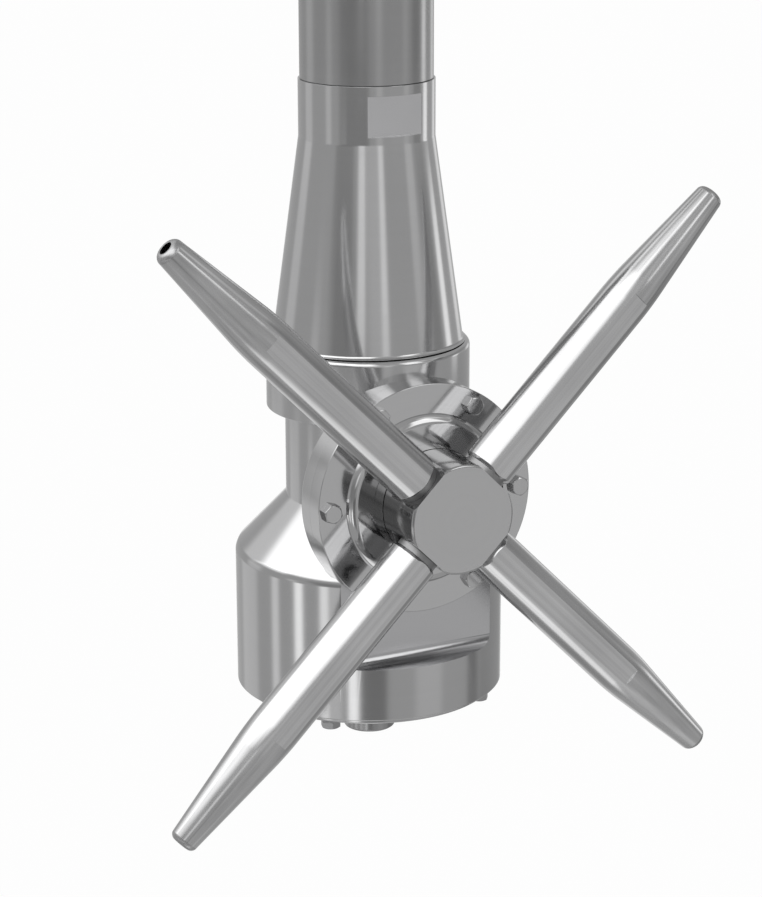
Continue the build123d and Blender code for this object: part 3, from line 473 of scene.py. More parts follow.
@dataclass(frozen=True)
class Finishes:
    """Every finish of the mixer, by the piece that wears it."""

    # Steel's values: name, axis, grey, roughness, lines, cloud, grain, tint
    pipe: Steel = Steel("satin_pipe", Axis.PIPE, 0.4, 0.21, 0.2, 0.05)
    cone: Steel = Steel("polished_round_the_pipe", Axis.PIPE, 0.5, 0.14, 0.1, 0.03)
    hub: Steel = Steel("polished_round_the_hub", Axis.HUB, 0.5, 0.09, 0.05, 0.02)
    # Painted shade: a darker copy of the hub's steel for the hub's side and the cover's nose,
    # which lie in shade among the nozzles
    hub_side_painted_shade: Steel = Steel("polished_hub_side", Axis.HUB, 0.4, 0.1, 0.05, 0.02)
    hub_front: Steel = Steel("satin_hub_front", Axis.HUB, 0.54, 0.36, 0.1, 0.03)
    rising: Steel = Steel(
        "polished_rising_nozzles", Axis.RISING, 0.5, 0.16, 0.5, 0.04, Grain.LENGTHWISE, 0.16
    )
    falling: Steel = Steel(
        "polished_falling_nozzles", Axis.FALLING, 0.5, 0.16, 0.5, 0.04, Grain.LENGTHWISE, 0.16
    )
    rising_tip: Steel = Steel("satin_rising_tips", Axis.RISING, 0.4, 0.34, 0.3, 0.05)
    falling_tip: Steel = Steel("satin_falling_tips", Axis.FALLING, 0.4, 0.34, 0.3, 0.05)
    # Painted shade: very dark steel on the nozzles' roots, which lie in shade against the hub
    root: Steel = Steel("painted_shade_nozzle_roots", Axis.HUB, 0.26, 0.36, 0.1, 0.03)
    milled: MilledSteel = MilledSteel("milled_face", Axis.HUB, 0.5, 0.24)
    flat: MilledSteel = MilledSteel("wrench_flat", Axis.HUB, 0.61, 0.22)
    bolt: Steel = Steel("bolt_steel", Axis.HUB, 0.48, 0.14, 0.1, 0.04)
    # Painted shade: darker steel for the ledge under the cone's flats and for the plug, bolts and
    # washers underneath
    low: Steel = Steel("low_turned_steel_painted_shade", Axis.PIPE, 0.36, 0.24, 0.2, 0.05)
    inner: Steel = Steel("machined_inner_steel", Axis.PIPE, 0.5, 0.28, 0.6, 0.06)
    hub_inner: Steel = Steel("machined_hub_steel", Axis.HUB, 0.5, 0.28, 0.6, 0.06)
    ball: Steel = Steel("ball_steel", Axis.PIPE, 0.56, 0.08, 0.0, 0.02)
    plastic: Moulded = Moulded(
        "bearing_plastic",
        low=(0.6216, 0.6048, 0.5376),
        high=(0.74, 0.72, 0.64),
        roughness=(0.42, 0.12),
        cloud_scale=60.0,
        line_scales=(20.0, 20.0, 1800.0),
        shares=(0.7, 0.3),
        relief=0.15,
    )
    rubber: Moulded = Moulded(
        "seal_rubber",
        low=(0.012, 0.012, 0.012),
        high=(0.045, 0.044, 0.042),
        roughness=(0.5, 0.2),
        cloud_scale=90.0,
        line_scales=(1400.0, 1400.0, 1400.0),
        shares=(1.0, 0.0),
        relief=0.2,
    )


FINISHES = Finishes()


# Shapes


@dataclass(frozen=True)
class Corner:
    """One corner of a turned outline.

    Attributes:
        r: Radius in millimetres.
        z: Height or reach along the axis in millimetres.
        soft: How far the corner's round reaches along both of its sides.
        segments: Number of steps in that round.
    """

    r: float
    z: float
    soft: float = 0.0
    segments: int = 3


Outline = tuple[Corner, ...]


def bevelled(shape: Shape, edges: Iterable[Edge], width: float, segments: int = 2) -> None:
    """Rounds some edges of a shape.

    Args:
        shape: The shape that holds the edges.
        edges: The edges to round.
        width: How far the round reaches along both sides, in millimetres.
        segments: Steps in the round.
    """
    bmesh.ops.bevel(
        shape,
        geom=list(edges),
        offset=width,
        offset_type="OFFSET",
        segments=segments,
        profile=0.5,
        affect="EDGES",
        clamp_overlap=True,
        material=-1,
    )


def turned(outline: Sequence[Corner], steps: int = STEPS) -> Shape:
    """Spins an outline of corners into a closed solid about Z.

    Args:
        outline: Corners in order round the section.
        steps: Number of steps in the full turn.

    Returns:
        The solid, in millimetres.
    """
    shape = bmesh.new()
    ring = [shape.verts.new((c.r, 0.0, c.z)) for c in outline]
    edges = []
    for one, two in zip(ring, ring[1:] + ring[:1]):
        if one.co.x > 0.0 or two.co.x > 0.0:
            edges.append(shape.edges.new((one, two)))
    bmesh.ops.spin(
        shape,
        geom=ring + edges,
        cent=(0, 0, 0),
        axis=(0, 0, 1),
        dvec=(0, 0, 0),
        angle=math.tau,
        steps=steps,
        use_merge=True,
    )
    bmesh.ops.remove_doubles(shape, verts=shape.verts, dist=SAME_PLACE)
    bmesh.ops.recalc_face_normals(shape, faces=shape.faces)
    for corner in outline:
        if corner.soft > 0.0:
            bevelled(shape, ring_edges(shape, corner), corner.soft, corner.segments)
    return shape


def ring_edges(shape: Shape, corner: Corner) -> list[Edge]:
    """The edges of a turned solid that run round it at one corner.

    Args:
        shape: The turned solid.
        corner: The corner of its outline.

    Returns:
        The edges.
    """

    def at_corner(vert: bmesh.types.BMVert) -> bool:
        """Whether a point lies on the ring of the corner."""
        reach = math.hypot(vert.co.x, vert.co.y)
        return abs(reach - corner.r) < SAME_PLACE and abs(vert.co.z - corner.z) < SAME_PLACE

    found = {vert for vert in shape.verts if at_corner(vert)}
    return [e for e in shape.edges if e.verts[0] in found and e.verts[1] in found]


def block(low: Sequence[float], high: Sequence[float]) -> Shape:
    """A box that is used as a cutter.

    Args:
        low: Its corner with the lowest coordinates.
        high: Its corner with the highest coordinates.

    Returns:
        The box.
    """
    shape = bmesh.new()
    bmesh.ops.create_cube(shape, size=1.0)
    size = [b - a for a, b in zip(low, high)]
    middle = [(a + b) / 2 for a, b in zip(low, high)]
    bmesh.ops.scale(shape, vec=size, verts=shape.verts)
    bmesh.ops.translate(shape, vec=middle, verts=shape.verts)
    return shape


def moved(shape: Shape, place: Matrix) -> Shape:
    """The same shape, put in its place."""
    bmesh.ops.transform(shape, matrix=place, verts=shape.verts)
    return shape


def as_object(shape: Shape, name: str) -> bpy.types.Object:
    """Makes an object from a shape.

    Args:
        shape: The shape. It is freed.
        name: Name of the object and of its mesh.

    Returns:
        The object.
    """
    mesh = bpy.data.meshes.new(name)
    shape.to_mesh(mesh)
    shape.free()
    made = bpy.data.objects.new(name, mesh)
    bpy.context.scene.collection.objects.link(made)
    return made


class Cut(Enum):
    """How a second shape works on a first one."""

    AWAY = "DIFFERENCE"
    ADD = "UNION"
    KEEP = "INTERSECT"


def worked(body: Shape, tool: Shape, cut: Cut) -> Shape:
    """Cuts, joins or trims one shape with another.

    Args:
        body: The shape that is worked on. It is freed.
        tool: The shape that works on it. It is freed.
        cut: What the tool does.

    Returns:
        The new shape.
    """
    first = as_object(body, "body_in_work")
    second = as_object(tool, "tool_in_work")
    modifier = first.modifiers.new("work", "BOOLEAN")
    modifier.operation = cut.value
    modifier.solver = "EXACT"
    modifier.object = second
    graph = bpy.context.evaluated_depsgraph_get()
    mesh = bpy.data.meshes.new_from_object(first.evaluated_get(graph))
    shape = bmesh.new()
    shape.from_mesh(mesh)
    for used in (first, second):
        old = used.data
        bpy.data.objects.remove(used)
        bpy.data.meshes.remove(old)
    bpy.data.meshes.remove(mesh)
    bmesh.ops.remove_doubles(shape, verts=shape.verts, dist=SAME_PLACE / 2)
    return shape


def with_flats(shape: Shape, half: float, span: Sequence[float], cutter: Sequence[float]) -> Shape:
    """Mills two flats on opposite sides of a turned piece, across Y.

    Args:
        shape: The turned piece. It is freed.
        half: Distance of each flat from the axis.
        span: Heights of the flats' two ends.
        cutter: Reach of the cutter to both sides and outwards.

    Returns:
        The piece with its flats.
    """
    low, high = span
    side, out = cutter
    for sign in (-1, 1):
        near, far = sorted((sign * half, sign * out))
        shape = worked(shape, block((-side, near, low), (side, far, high)), Cut.AWAY)
    return shape


def joined(shapes: Sequence[Shape]) -> Shape:
    """Puts several separate shapes into one mesh.

    Args:
        shapes: The shapes. They are freed.

    Returns:
        The shape of all of them.
    """
    whole = bmesh.new()
    for shape in shapes:
        mesh = bpy.data.meshes.new("part_in_work")
        shape.to_mesh(mesh)
        shape.free()
        whole.from_mesh(mesh)
        bpy.data.meshes.remove(mesh)
    return whole


def sharp(edge: Edge, degrees: float = 25.0) -> bool:
    """Whether the two faces at an edge turn by more than an angle."""
    return len(edge.link_faces) == 2 and edge.calc_face_angle(0.0) > math.radians(degrees)


def sharp_edges(shape: Shape, inside: PlaceTest, degrees: float = 25.0) -> list[Edge]:
    """The sharp edges of a shape that have both ends where a test wants them."""
    return [e for e in shape.edges if all(inside(v.co) for v in e.verts) and sharp(e, degrees)]


@dataclass
class Piece:
    """A finished piece: its shape, its finishes and the body it rides on.

    Attributes:
        name: Name of the piece.
        body: Name of the body that it rides on.
        nodes: Names of the solids that it stands for.
        finish: Finish of the whole piece.
        patches: Other finishes, each with a test for the faces that wear it.
        slot: Material slot of the record. It is not used.
    """

    name: str
    body: str
    nodes: tuple[str, ...]
    finish: Finish
    patches: Sequence[tuple[Finish, FaceTest]] = ()
    slot: str = "polished_steel"

    def make(self, shape: Shape) -> None:
        """Turns a shape in millimetres into the finished piece at the origin, in metres.

        Args:
            shape: The shape in its place. It is freed.
        """
        for index, (_, wears) in enumerate(self.patches, 1):
            for face in shape.faces:
                if wears(face):
                    face.material_index = index
        bmesh.ops.scale(shape, vec=(MM, MM, MM), verts=shape.verts)
        made = as_object(shape, self.name)
        for finish in (self.finish, *(f for f, _ in self.patches)):
            made.data.materials.append(finish.material())
        made.data.shade_smooth()
        made.data.set_sharp_from_angle(angle=math.radians(SMOOTH))
        even = made.modifiers.new("even_normals", "WEIGHTED_NORMAL")
        even.keep_sharp = True
        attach(made, self.body)
        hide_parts(*self.nodes)
        log.info("%s: %d faces on %s", self.name, len(made.data.polygons), self.body)


def faces_along(direction: Sequence[float], place: float, reach: float = 0.05) -> FaceTest:
    """A test for flat faces that look along a direction at one distance.

    Args:
        direction: Unit vector that the faces look along.
        place: Distance of the faces along that vector, in millimetres.
        reach: How far a face may be from it.

    Returns:
        The test.
    """
    aim = Vector(direction)

    def test(face: Face) -> bool:
        """Whether a face is one of them."""
        distance = face.calc_center_median().dot(aim)
        return face.normal.dot(aim) > ALONG and abs(distance - place) < reach

    return test


@dataclass
class HexBolt:
    """Hexagon bolt with a chamfered head, standing on Z = 0.

    Attributes:
        width: Size across the flats.
        height: Height of the head.
        shank: Diameter of the shank.
        length: Length of the shank.
        crown: How far the crown's chamfer reaches in from the corners.
        crown_drop: How far it drops down to the corners and a little beyond.
        crown_round: Round between the crown's chamfer and its top.
        edge: Width of the rounds on all sharp edges.
        point: Chamfer at the shank's end.
    """

    width: float = 8.0
    height: float = 3.2
    shank: float = 5.0
    length: float = 16.0
    crown: float = 0.85
    crown_drop: float = 1.15
    crown_round: float = 0.2
    edge: float = 0.12
    point: float = 0.5

    def shape(self, turn: float) -> Shape:
        """One bolt.

        Args:
            turn: Turn of the hexagon in degrees.

        Returns:
            The bolt's shape.
        """
        corner = self.width / 2 / math.cos(math.radians(30))
        head = bmesh.new()
        circle = bmesh.ops.create_circle(head, cap_ends=True, segments=6, radius=corner)
        bmesh.ops.rotate(
            head,
            cent=(0, 0, 0),
            matrix=Matrix.Rotation(math.radians(turn), 3, "Z"),
            verts=circle["verts"],
        )
        grown = bmesh.ops.extrude_face_region(head, geom=list(head.faces))
        risen = [v for v in grown["geom"] if isinstance(v, bmesh.types.BMVert)]
        bmesh.ops.translate(head, vec=(0, 0, self.height), verts=risen)
        bmesh.ops.recalc_face_normals(head, faces=head.faces)
        margin = 1.0  # how far the crown's outline clears the hexagon
        crown = turned(
            [
                Corner(0, -margin),
                Corner(corner + margin, -margin),
                Corner(corner + margin, self.height - self.crown_drop),
                Corner(corner - self.crown, self.height, self.crown_round, 2),
                Corner(0, self.height),
            ],
            steps=60,
        )
        head = worked(head, crown, Cut.KEEP)
        bevelled(head, [e for e in head.edges if sharp(e)], self.edge)
        shank = turned(
            [
                Corner(0, -self.length),
                Corner(self.shank / 2, -self.length, self.point, 1),
                Corner(self.shank / 2, NEAR),
                Corner(0, NEAR),
            ],
            steps=32,
        )
        return worked(head, shank, Cut.ADD)


def around(count: int, diameter: float, first: float = 0.0) -> list[tuple[float, float]]:
    """Places spread evenly on a circle.

    Args:
        count: Number of places.
        diameter: Diameter of the circle.
        first: Angle of the first place in degrees.

    Returns:
        The two coordinates of each place.
    """
    places = []
    for number in range(count):
        angle = math.radians(first + 360.0 * number / count)
        places.append((diameter / 2 * math.cos(angle), diameter / 2 * math.sin(angle)))
    return places


# Sub-assemblies


@dataclass
class Hanger:
    """The fixed downpipe and the inlet cone under it.

    Attributes:
        joint: Height of the joint between pipe and cone.
        pipe: Outline of the downpipe.
        foot: Height of the cone's lower end.
        inlet: Outline of the inlet cylinder, cone, foot lip and spigot.
        flat: Distance of the wrench flats from the axis.
        flat_span: Lower and upper end of the flats.
        flat_edge: Width of the rounds on their edges.
        cutter: Reach of the flats' cutter to both sides and outwards.
    """

    joint: float = -60.0
    pipe: Outline = (
        Corner(28.15, 0.0, 0.3),
        Corner(30.15, 0.0, 0.4),
        Corner(30.15, joint, 0.3, 1),
        Corner(28.15, joint),
    )
    foot: float = -179.7
    inlet: Outline = (
        Corner(25.0, joint, 0.4),
        Corner(30.95, joint, 0.15, 2),
        Corner(30.95, -85.9, 0.5),
        Corner(43.75, foot + 0.5, 1.1, 4),
        Corner(45.0, foot + 0.25, 0.1, 2),
        Corner(45.0, foot, 0.1, 2),
        Corner(36.2, foot),
        Corner(36.2, -196.2, 0.4),
        Corner(32.5, -196.2),
        Corner(32.5, foot + 56.0),
        Corner(25.0, foot + 88.0),
    )
    flat: float = 28.0
    flat_span: tuple[float, float] = (-82.4, -64.4)
    flat_edge: float = 0.08
    cutter: tuple[float, float] = (40.0, 60.0)

    def build(self) -> None:
        """Makes both pieces."""
        pipe = Piece("downpipe_dressed", "hanger", ("downpipe",), FINISHES.pipe, slot="pipe_steel")
        pipe.make(turned(self.pipe))
        self.cone()

    def cone(self) -> None:
        """The turned cone with its two wrench flats."""
        low, high = self.flat_span
        shape = with_flats(turned(self.inlet), self.flat, self.flat_span, self.cutter)

        def at_flat(place: Vector) -> bool:
            """Whether a place lies at a wrench flat."""
            return low - NEAR < place.z < high + NEAR and abs(place.y) > self.flat - NEAR

        bevelled(shape, sharp_edges(shape, at_flat, degrees=15), self.flat_edge)
        patches = [
            (FINISHES.flat, faces_along((0, -1, 0), self.flat)),
            (FINISHES.flat, faces_along((0, 1, 0), self.flat)),
            # The ledge at the flats' lower end wears the darker steel: painted shade
            (FINISHES.low, faces_along((0, 0, 1), low)),
        ]
        piece = Piece("inlet_cone_dressed", "hanger", ("inlet_cone",), FINISHES.cone, patches)
        piece.make(shape)


@dataclass
class Turret:
    """The housing that turns about the pipe, with its covers, bolts and plug.

    Outlines round the pipe's axis have heights, and those round the hub's have the distance
    from the pipe's axis.

    Attributes:
        face: Distance of the milled face from the pipe's axis.
        ledge: Height of the ledge under the milled face.
        ledge_fillet: Width of the fillet between the two.
        milled_edge: Width of the rounds on milled edges.
        cutter: Reach of the milling to both sides and forwards, and its upper end.
        drum_bottom: Height of the drum's lower rim.
        body: Outline of collar, neck, shoulder and drum.
        boss: Outline of the boss on the hub's axis.
        room: Outline of the room inside.
        hub_hole: Outline of the opening towards the hub.
        cover_front: Distance of the hub cover's flange from the pipe's axis.
        cover_land: The same of the land round its nose.
        nose_radius: Radius of its nose.
        cover: Outline of the hub cover.
        bolt_circle: Diameter of the circle of its bolts.
        bolt_length: Length of their shanks.
        lid_bottom: Height of the drum cover's underside.
        lid: Outline of the drum cover.
        lid_circle: Diameter of the circle of its bolts, and the first bolt's angle in degrees.
        lid_bolt_length: Length of their shanks.
        washer_height: Height of a washer.
        washer: Outline of a washer.
        plug: Outline of the bottom plug.
    """

    face: float = 49.5
    ledge: float = -319.7
    ledge_fillet: float = 5.0
    milled_edge: float = 0.2
    cutter: tuple[float, float, float] = (130.0, 220.0, -100.0)
    drum_bottom: float = -344.3
    body: Outline = (
        Corner(0.0, -180.1),
        Corner(46.95, -180.1, 2.4, 6),
        Corner(46.95, -210.6, 0.5),
        Corner(38.45, -210.6),
        Corner(38.45, -253.1),
        Corner(62.49, -278.3, 2.57, 8),
        Corner(62.49, drum_bottom, 0.5),
        Corner(0.0, drum_bottom),
    )
    boss: Outline = (
        Corner(0.0, 22.0),
        Corner(38.0, 22.0),
        Corner(53.01, 40.5, 0.8),
        Corner(53.01, face),
        Corner(0.0, face),
    )
    room: Outline = (
        Corner(0.0, -178.1),
        Corner(43.0, -178.1),
        Corner(43.0, -203.7),
        Corner(33.0, -203.7),
        Corner(33.0, -260.5),
        Corner(40.0, -268.5),
        Corner(40.0, -275.5),
        Corner(20.5, -275.5),
        Corner(20.5, -281.5),
        Corner(43.0, -281.5),
        Corner(43.0, -315.3),
        Corner(44.0, -315.3),
        Corner(44.0, drum_bottom - 2.0),
        Corner(0.0, drum_bottom - 2.0),
    )
    hub_hole: Outline = (
        Corner(0.0, 17.0),
        Corner(31.0, 17.0),
        Corner(31.0, 52.0),
        Corner(0.0, 52.0),
    )
    cover_front: float = 58.5
    cover_land: float = 61.5
    nose_radius: float = 25.2
    cover: Outline = (
        Corner(20.5, 31.5),
        Corner(26.0, 31.5),
        Corner(26.0, 42.5),
        Corner(30.9, 42.5),
        Corner(30.9, face),
        Corner(53.01, face, 0.08, 2),
        Corner(53.01, cover_front, 0.4),
        Corner(39.5, cover_front),
        Corner(38.25, cover_land, 3.2, 10),
        Corner(nose_radius, cover_land),
        Corner(nose_radius, 65.4, 0.08, 2),
        Corner(20.5, 65.4),
    )
    bolt_circle: float = 93.84
    bolt_length: float = 16.0
    lid_bottom: float = -346.9
    lid: Outline = (
        Corner(9.0, lid_bottom, 0.2, 2),
        Corner(59.3, lid_bottom, 0.6),
        Corner(59.3, drum_bottom, 0.15, 2),
        Corner(43.9, drum_bottom),
        Corner(43.9, -328.3),
        Corner(38.0, -328.3),
        Corner(38.0, -342.8),
        Corner(14.0, -342.8),
        Corner(14.0, -337.2),
        Corner(9.0, -337.2),
    )
    lid_circle: tuple[float, float] = (109.0, -135.0)
    lid_bolt_length: float = 14.0
    washer_height: float = 1.0
    washer: Outline = (
        Corner(2.5, 0.0, 0.1, 1),
        Corner(4.5, 0.0, 0.2, 2),
        Corner(4.5, washer_height, 0.1, 1),
        Corner(2.5, washer_height),
    )
    plug: Outline = (
        Corner(0.0, -370.2),
        Corner(12.1, -370.2, 1.0, 4),
        Corner(12.1, lid_bottom, 0.2, 2),
        Corner(9.0, lid_bottom),
        Corner(9.0, -336.9),
        Corner(5.5, -336.9),
        Corner(5.5, -343.9),
        Corner(0.0, -343.9),
    )

    def build(self) -> None:
        """Makes every piece of the turning housing."""
        self.housing()
        self.hub_cover()
        self.hub_cover_bolts()
        lid = Piece("drum_cover_dressed", "turret", ("drum_cover",), FINISHES.cone)
        lid.make(turned(self.lid))
        self.drum_cover_fasteners()
        # The plug wears the darker steel: painted shade
        plug = Piece("bottom_plug_dressed", "turret", ("bottom_plug",), FINISHES.low)
        plug.make(turned(self.plug, steps=96))

    def milling(self) -> Shape:
        """Makes the cutter that leaves the flat face and the ledge under it.

        Returns:
            The cutter, with a round for the fillet between the two.
        """
        side, out, top = self.cutter
        shape = block((-side, -out, self.ledge), (side, -self.face, top))

        def in_corner(place: Vector) -> bool:
            """Whether a place lies in the inner corner over the ledge."""
            return abs(place.y + self.face) < CLOSE and abs(place.z - self.ledge) < CLOSE

        bevelled(shape, sharp_edges(shape, in_corner), self.ledge_fillet, segments=12)
        return shape

    def housing(self) -> None:
        """The body with its boss, milled, hollowed and opened towards the hub."""
        boss = moved(turned(self.boss), HUB_PLACE)
        shape = worked(turned(self.body), boss, Cut.ADD)
        hole = moved(turned(self.hub_hole), HUB_PLACE)
        for tool in (self.milling(), turned(self.room), hole):
            shape = worked(shape, tool, Cut.AWAY)

        def on_face(place: Vector) -> bool:
            """Whether a place lies on the milled face."""
            return abs(place.y + self.face) < CLOSE

        def on_ledge(place: Vector) -> bool:
            """Whether a place lies on the ledge under it."""
            return abs(place.z - self.ledge) < CLOSE and place.y < -self.face - NEAR

        def on_ledge_fillet(face: Face) -> bool:
            """Tells whether a face belongs to the fillet between the two.

            Args:
                face: A face of the housing.

            Returns:
                Whether it does.
            """
            middle = face.calc_center_median()
            out = -middle.y - self.face
            up = middle.z - self.ledge
            looks_out = face.normal.y < 0 < face.normal.z and abs(face.normal.x) < CLOSE
            return looks_out and 0 < out < self.ledge_fillet and 0 < up < self.ledge_fillet

        edges = sharp_edges(shape, on_face) + sharp_edges(shape, on_ledge)
        bevelled(shape, edges, self.milled_edge)
        patches = [
            (FINISHES.milled, faces_along((0, -1, 0), self.face)),
            (FINISHES.milled, faces_along((0, 0, 1), self.ledge)),
            (FINISHES.milled, on_ledge_fillet),
        ]
        piece = Piece("housing_dressed", "turret", ("housing",), FINISHES.cone, patches)
        piece.make(shape)

    def hub_cover(self) -> None:
        """Flanged cover with its raised ring, its nose and the sleeve behind."""

        def on_nose(face: Face) -> bool:
            """Tells whether a face belongs to the nose.

            Args:
                face: A face of the cover.

            Returns:
                Whether it does.
            """
            middle = face.calc_center_median()
            reach = math.hypot(middle.x, middle.z - HUB_HEIGHT)
            return -middle.y > self.cover_land + NEAR and reach < self.nose_radius + NEAR

        # The nose wears the darker hub steel: painted shade
        patches = [(FINISHES.hub_side_painted_shade, on_nose)]
        piece = Piece("hub_cover_dressed", "turret", ("hub_cover",), FINISHES.hub, patches)
        piece.make(moved(turned(self.cover, steps=192), HUB_PLACE))

    def hub_cover_bolts(self) -> None:
        """The bolts of the hub cover, each hexagon turned its own way."""
        turns = (7, 22, 41, 13, 50, 31)
        bolts = []
        for turn, (x, y) in zip(turns, around(len(turns), self.bolt_circle)):
            place = HUB_PLACE @ Matrix.Translation((x, y, self.cover_front))
            bolts.append(moved(HexBolt(length=self.bolt_length).shape(turn), place))
        nodes = ("hub_cover_bolts",)
        piece = Piece("hub_cover_bolt_set", "turret", nodes, FINISHES.bolt, slot="fastener_steel")
        piece.make(joined(bolts))

    def drum_cover_fasteners(self) -> None:
        """The drum cover's bolts and their washers."""
        turns = (12, 37, 4, 25)
        flip = Matrix.Rotation(math.pi, 4, "X")
        bolts, washers = [], []
        for turn, (x, y) in zip(turns, around(len(turns), *self.lid_circle)):
            under = Matrix.Translation((x, y, self.lid_bottom - self.washer_height))
            bolt = HexBolt(length=self.lid_bolt_length).shape(turn)
            bolts.append(moved(bolt, under @ flip))
            washers.append(moved(turned(self.washer, steps=48), under))
        for name, node, shapes in (
            ("drum_cover_bolt_set", "drum_cover_bolts", bolts),
            ("drum_cover_washer_set", "drum_cover_washers", washers),
        ):
            # The bolts and washers underneath wear the darker steel: painted shade
            piece = Piece(name, "turret", (node,), FINISHES.low, slot="fastener_steel")
            piece.make(joined(shapes))


@dataclass
class NozzleHead:
    """The hub with its four nozzles.

    Attributes:
        back: Distance of the hub head's back from the pipe's axis.
        front: The same of its front.
        head: Outline of the hub head and of the hollow spindle behind it.
        flat: Distance of the nozzles' flats from the hub's axis.
        flat_back: How far the flats begin in front of the hub head's back.
        flat_edge: Width of the rounds on the flats' edges.
        cutter: Reach of the flats' cutter outwards, to both sides and past the front.
        nozzle_plane: Distance of the nozzles' axes from the pipe's axis.
        reach: Distance of the nozzles' tips from the hub's axis.
        tip_round: Round of a tip.
        root_end: Distance of the barrels' roots from the hub's axis.
        wrench_span: Both ends of a nozzle's wrench flats, from the hub's axis.
        barrel: Outline of a nozzle, with the distance from the hub's axis.
        across_flats: Width across the wrench flats.
        wrench_edge: Width of the rounds on their edges.
        wrench_cutter: Reach of their cutter to both sides and outwards.
    """

    back: float = 66.0
    front: float = 94.299
    head: Outline = (
        Corner(12.0, 20.85),
        Corner(15.0, 20.85),
        Corner(15.0, 29.0),
        Corner(18.0, 29.0),
        Corner(18.0, back),
        Corner(25.0, back, 0.08, 2),
        Corner(25.0, front, 1.1, 5),
        Corner(0.0, front),
        Corner(0.0, 88.8),
        Corner(12.0, 86.8),
    )
    flat: float = 22.3
    flat_back: float = 5.8
    flat_edge: float = 0.3
    cutter: tuple[float, float, float] = (60.0, 40.0, 5.0)
    nozzle_plane: float = 82.45
    reach: float = 185.9
    tip_round: float = 2.75
    root_end: float = 26.3
    wrench_span: tuple[float, float] = (24.9, 126.0)
    barrel: Outline = (
        Corner(5.0, 14.3),
        Corner(7.0, 14.3),
        Corner(7.0, flat),
        Corner(10.0, flat, 0.1, 1),
        Corner(10.0, 24.9),
        Corner(11.4, root_end, 0.15, 2),
        Corner(11.4, 128.0, 7.0, 8),
        Corner(6.19, reach, tip_round, 6),
        Corner(3.1, reach, 0.15, 2),
        Corner(3.1, reach - 12.0),
        Corner(5.0, 24.9),
    )
    across_flats: float = 21.0
    wrench_edge: float = 0.12
    wrench_cutter: tuple[float, float] = (15.0, 20.0)

    def build(self) -> None:
        """Makes the hub and the nozzles."""
        self.hub()
        for number, angle in enumerate(QUARTERS, 1):
            self.nozzle(number, angle)

    def hub(self) -> None:
        """Hub head with four nozzle flats, and the hollow spindle behind it."""
        shape = turned(self.head)
        start = self.back + self.flat_back
        far, side, past = self.cutter
        aims = []
        for angle in QUARTERS:
            cutter = block((self.flat, -side, start), (far, side, self.front + past))
            turn = Matrix.Rotation(math.radians(angle), 4, "Z")
            shape = worked(shape, moved(cutter, turn), Cut.AWAY)
            aims.append(turn @ Vector((1, 0, 0)))

        def at_flat(place: Vector) -> bool:
            """Whether a place lies on one of the nozzles' flats."""
            return any(abs(place.dot(aim) - self.flat) < CLOSE for aim in aims)

        edges = sharp_edges(shape, at_flat, degrees=12)
        bevelled(shape, edges, self.flat_edge, segments=3)
        patches = [(FINISHES.hub_front, faces_along((0, -1, 0), self.front))]
        nodes = ("nozzle_hub",)
        # The hub's side wears the darker hub steel: painted shade
        piece = Piece("nozzle_hub_dressed", "nozzle_head", nodes, FINISHES.hub_side_painted_shade, patches)
        piece.make(moved(shape, HUB_PLACE))

    def nozzle(self, number: int, angle: float) -> None:
        """One nozzle.

        Args:
            number: Number of the nozzle, from 1.
            angle: Its angle on the hub in degrees.
        """
        half = self.across_flats / 2
        shape = turned(self.barrel, steps=96)
        shape = with_flats(shape, half, self.wrench_span, self.wrench_cutter)

        def at_flat(place: Vector) -> bool:
            """Whether a place lies on a wrench flat."""
            return abs(abs(place.y) - half) < CLOSE

        bevelled(shape, sharp_edges(shape, at_flat, degrees=10), self.wrench_edge)
        place = (
            HUB_PLACE
            @ Matrix.Translation((0, 0, self.nozzle_plane))
            @ Matrix.Rotation(math.radians(angle), 4, "Z")
            @ Matrix.Rotation(math.radians(90), 4, "Y")
            @ Matrix.Rotation(math.radians(90), 4, "Z")
        )
        hub_middle = Vector((0, -self.nozzle_plane, HUB_HEIGHT))

        def on_tip(face: Face) -> bool:
            """Whether a face belongs to the rounded tip."""
            return (face.calc_center_median() - hub_middle).length > self.reach - self.tip_round

        def on_root(face: Face) -> bool:
            """Whether a face belongs to the neck."""
            return (face.calc_center_median() - hub_middle).length < self.root_end

        finish, tip = FINISHES.falling, FINISHES.falling_tip
        if angle in RISING:
            finish, tip = FINISHES.rising, FINISHES.rising_tip
        # The roots wear very dark steel: painted shade
        patches = [(tip, on_tip), (FINISHES.root, on_root)]
        name = f"nozzle_{number}"
        piece = Piece(f"{name}_dressed", "nozzle_head", (name,), finish, patches)
        piece.make(moved(shape, place))


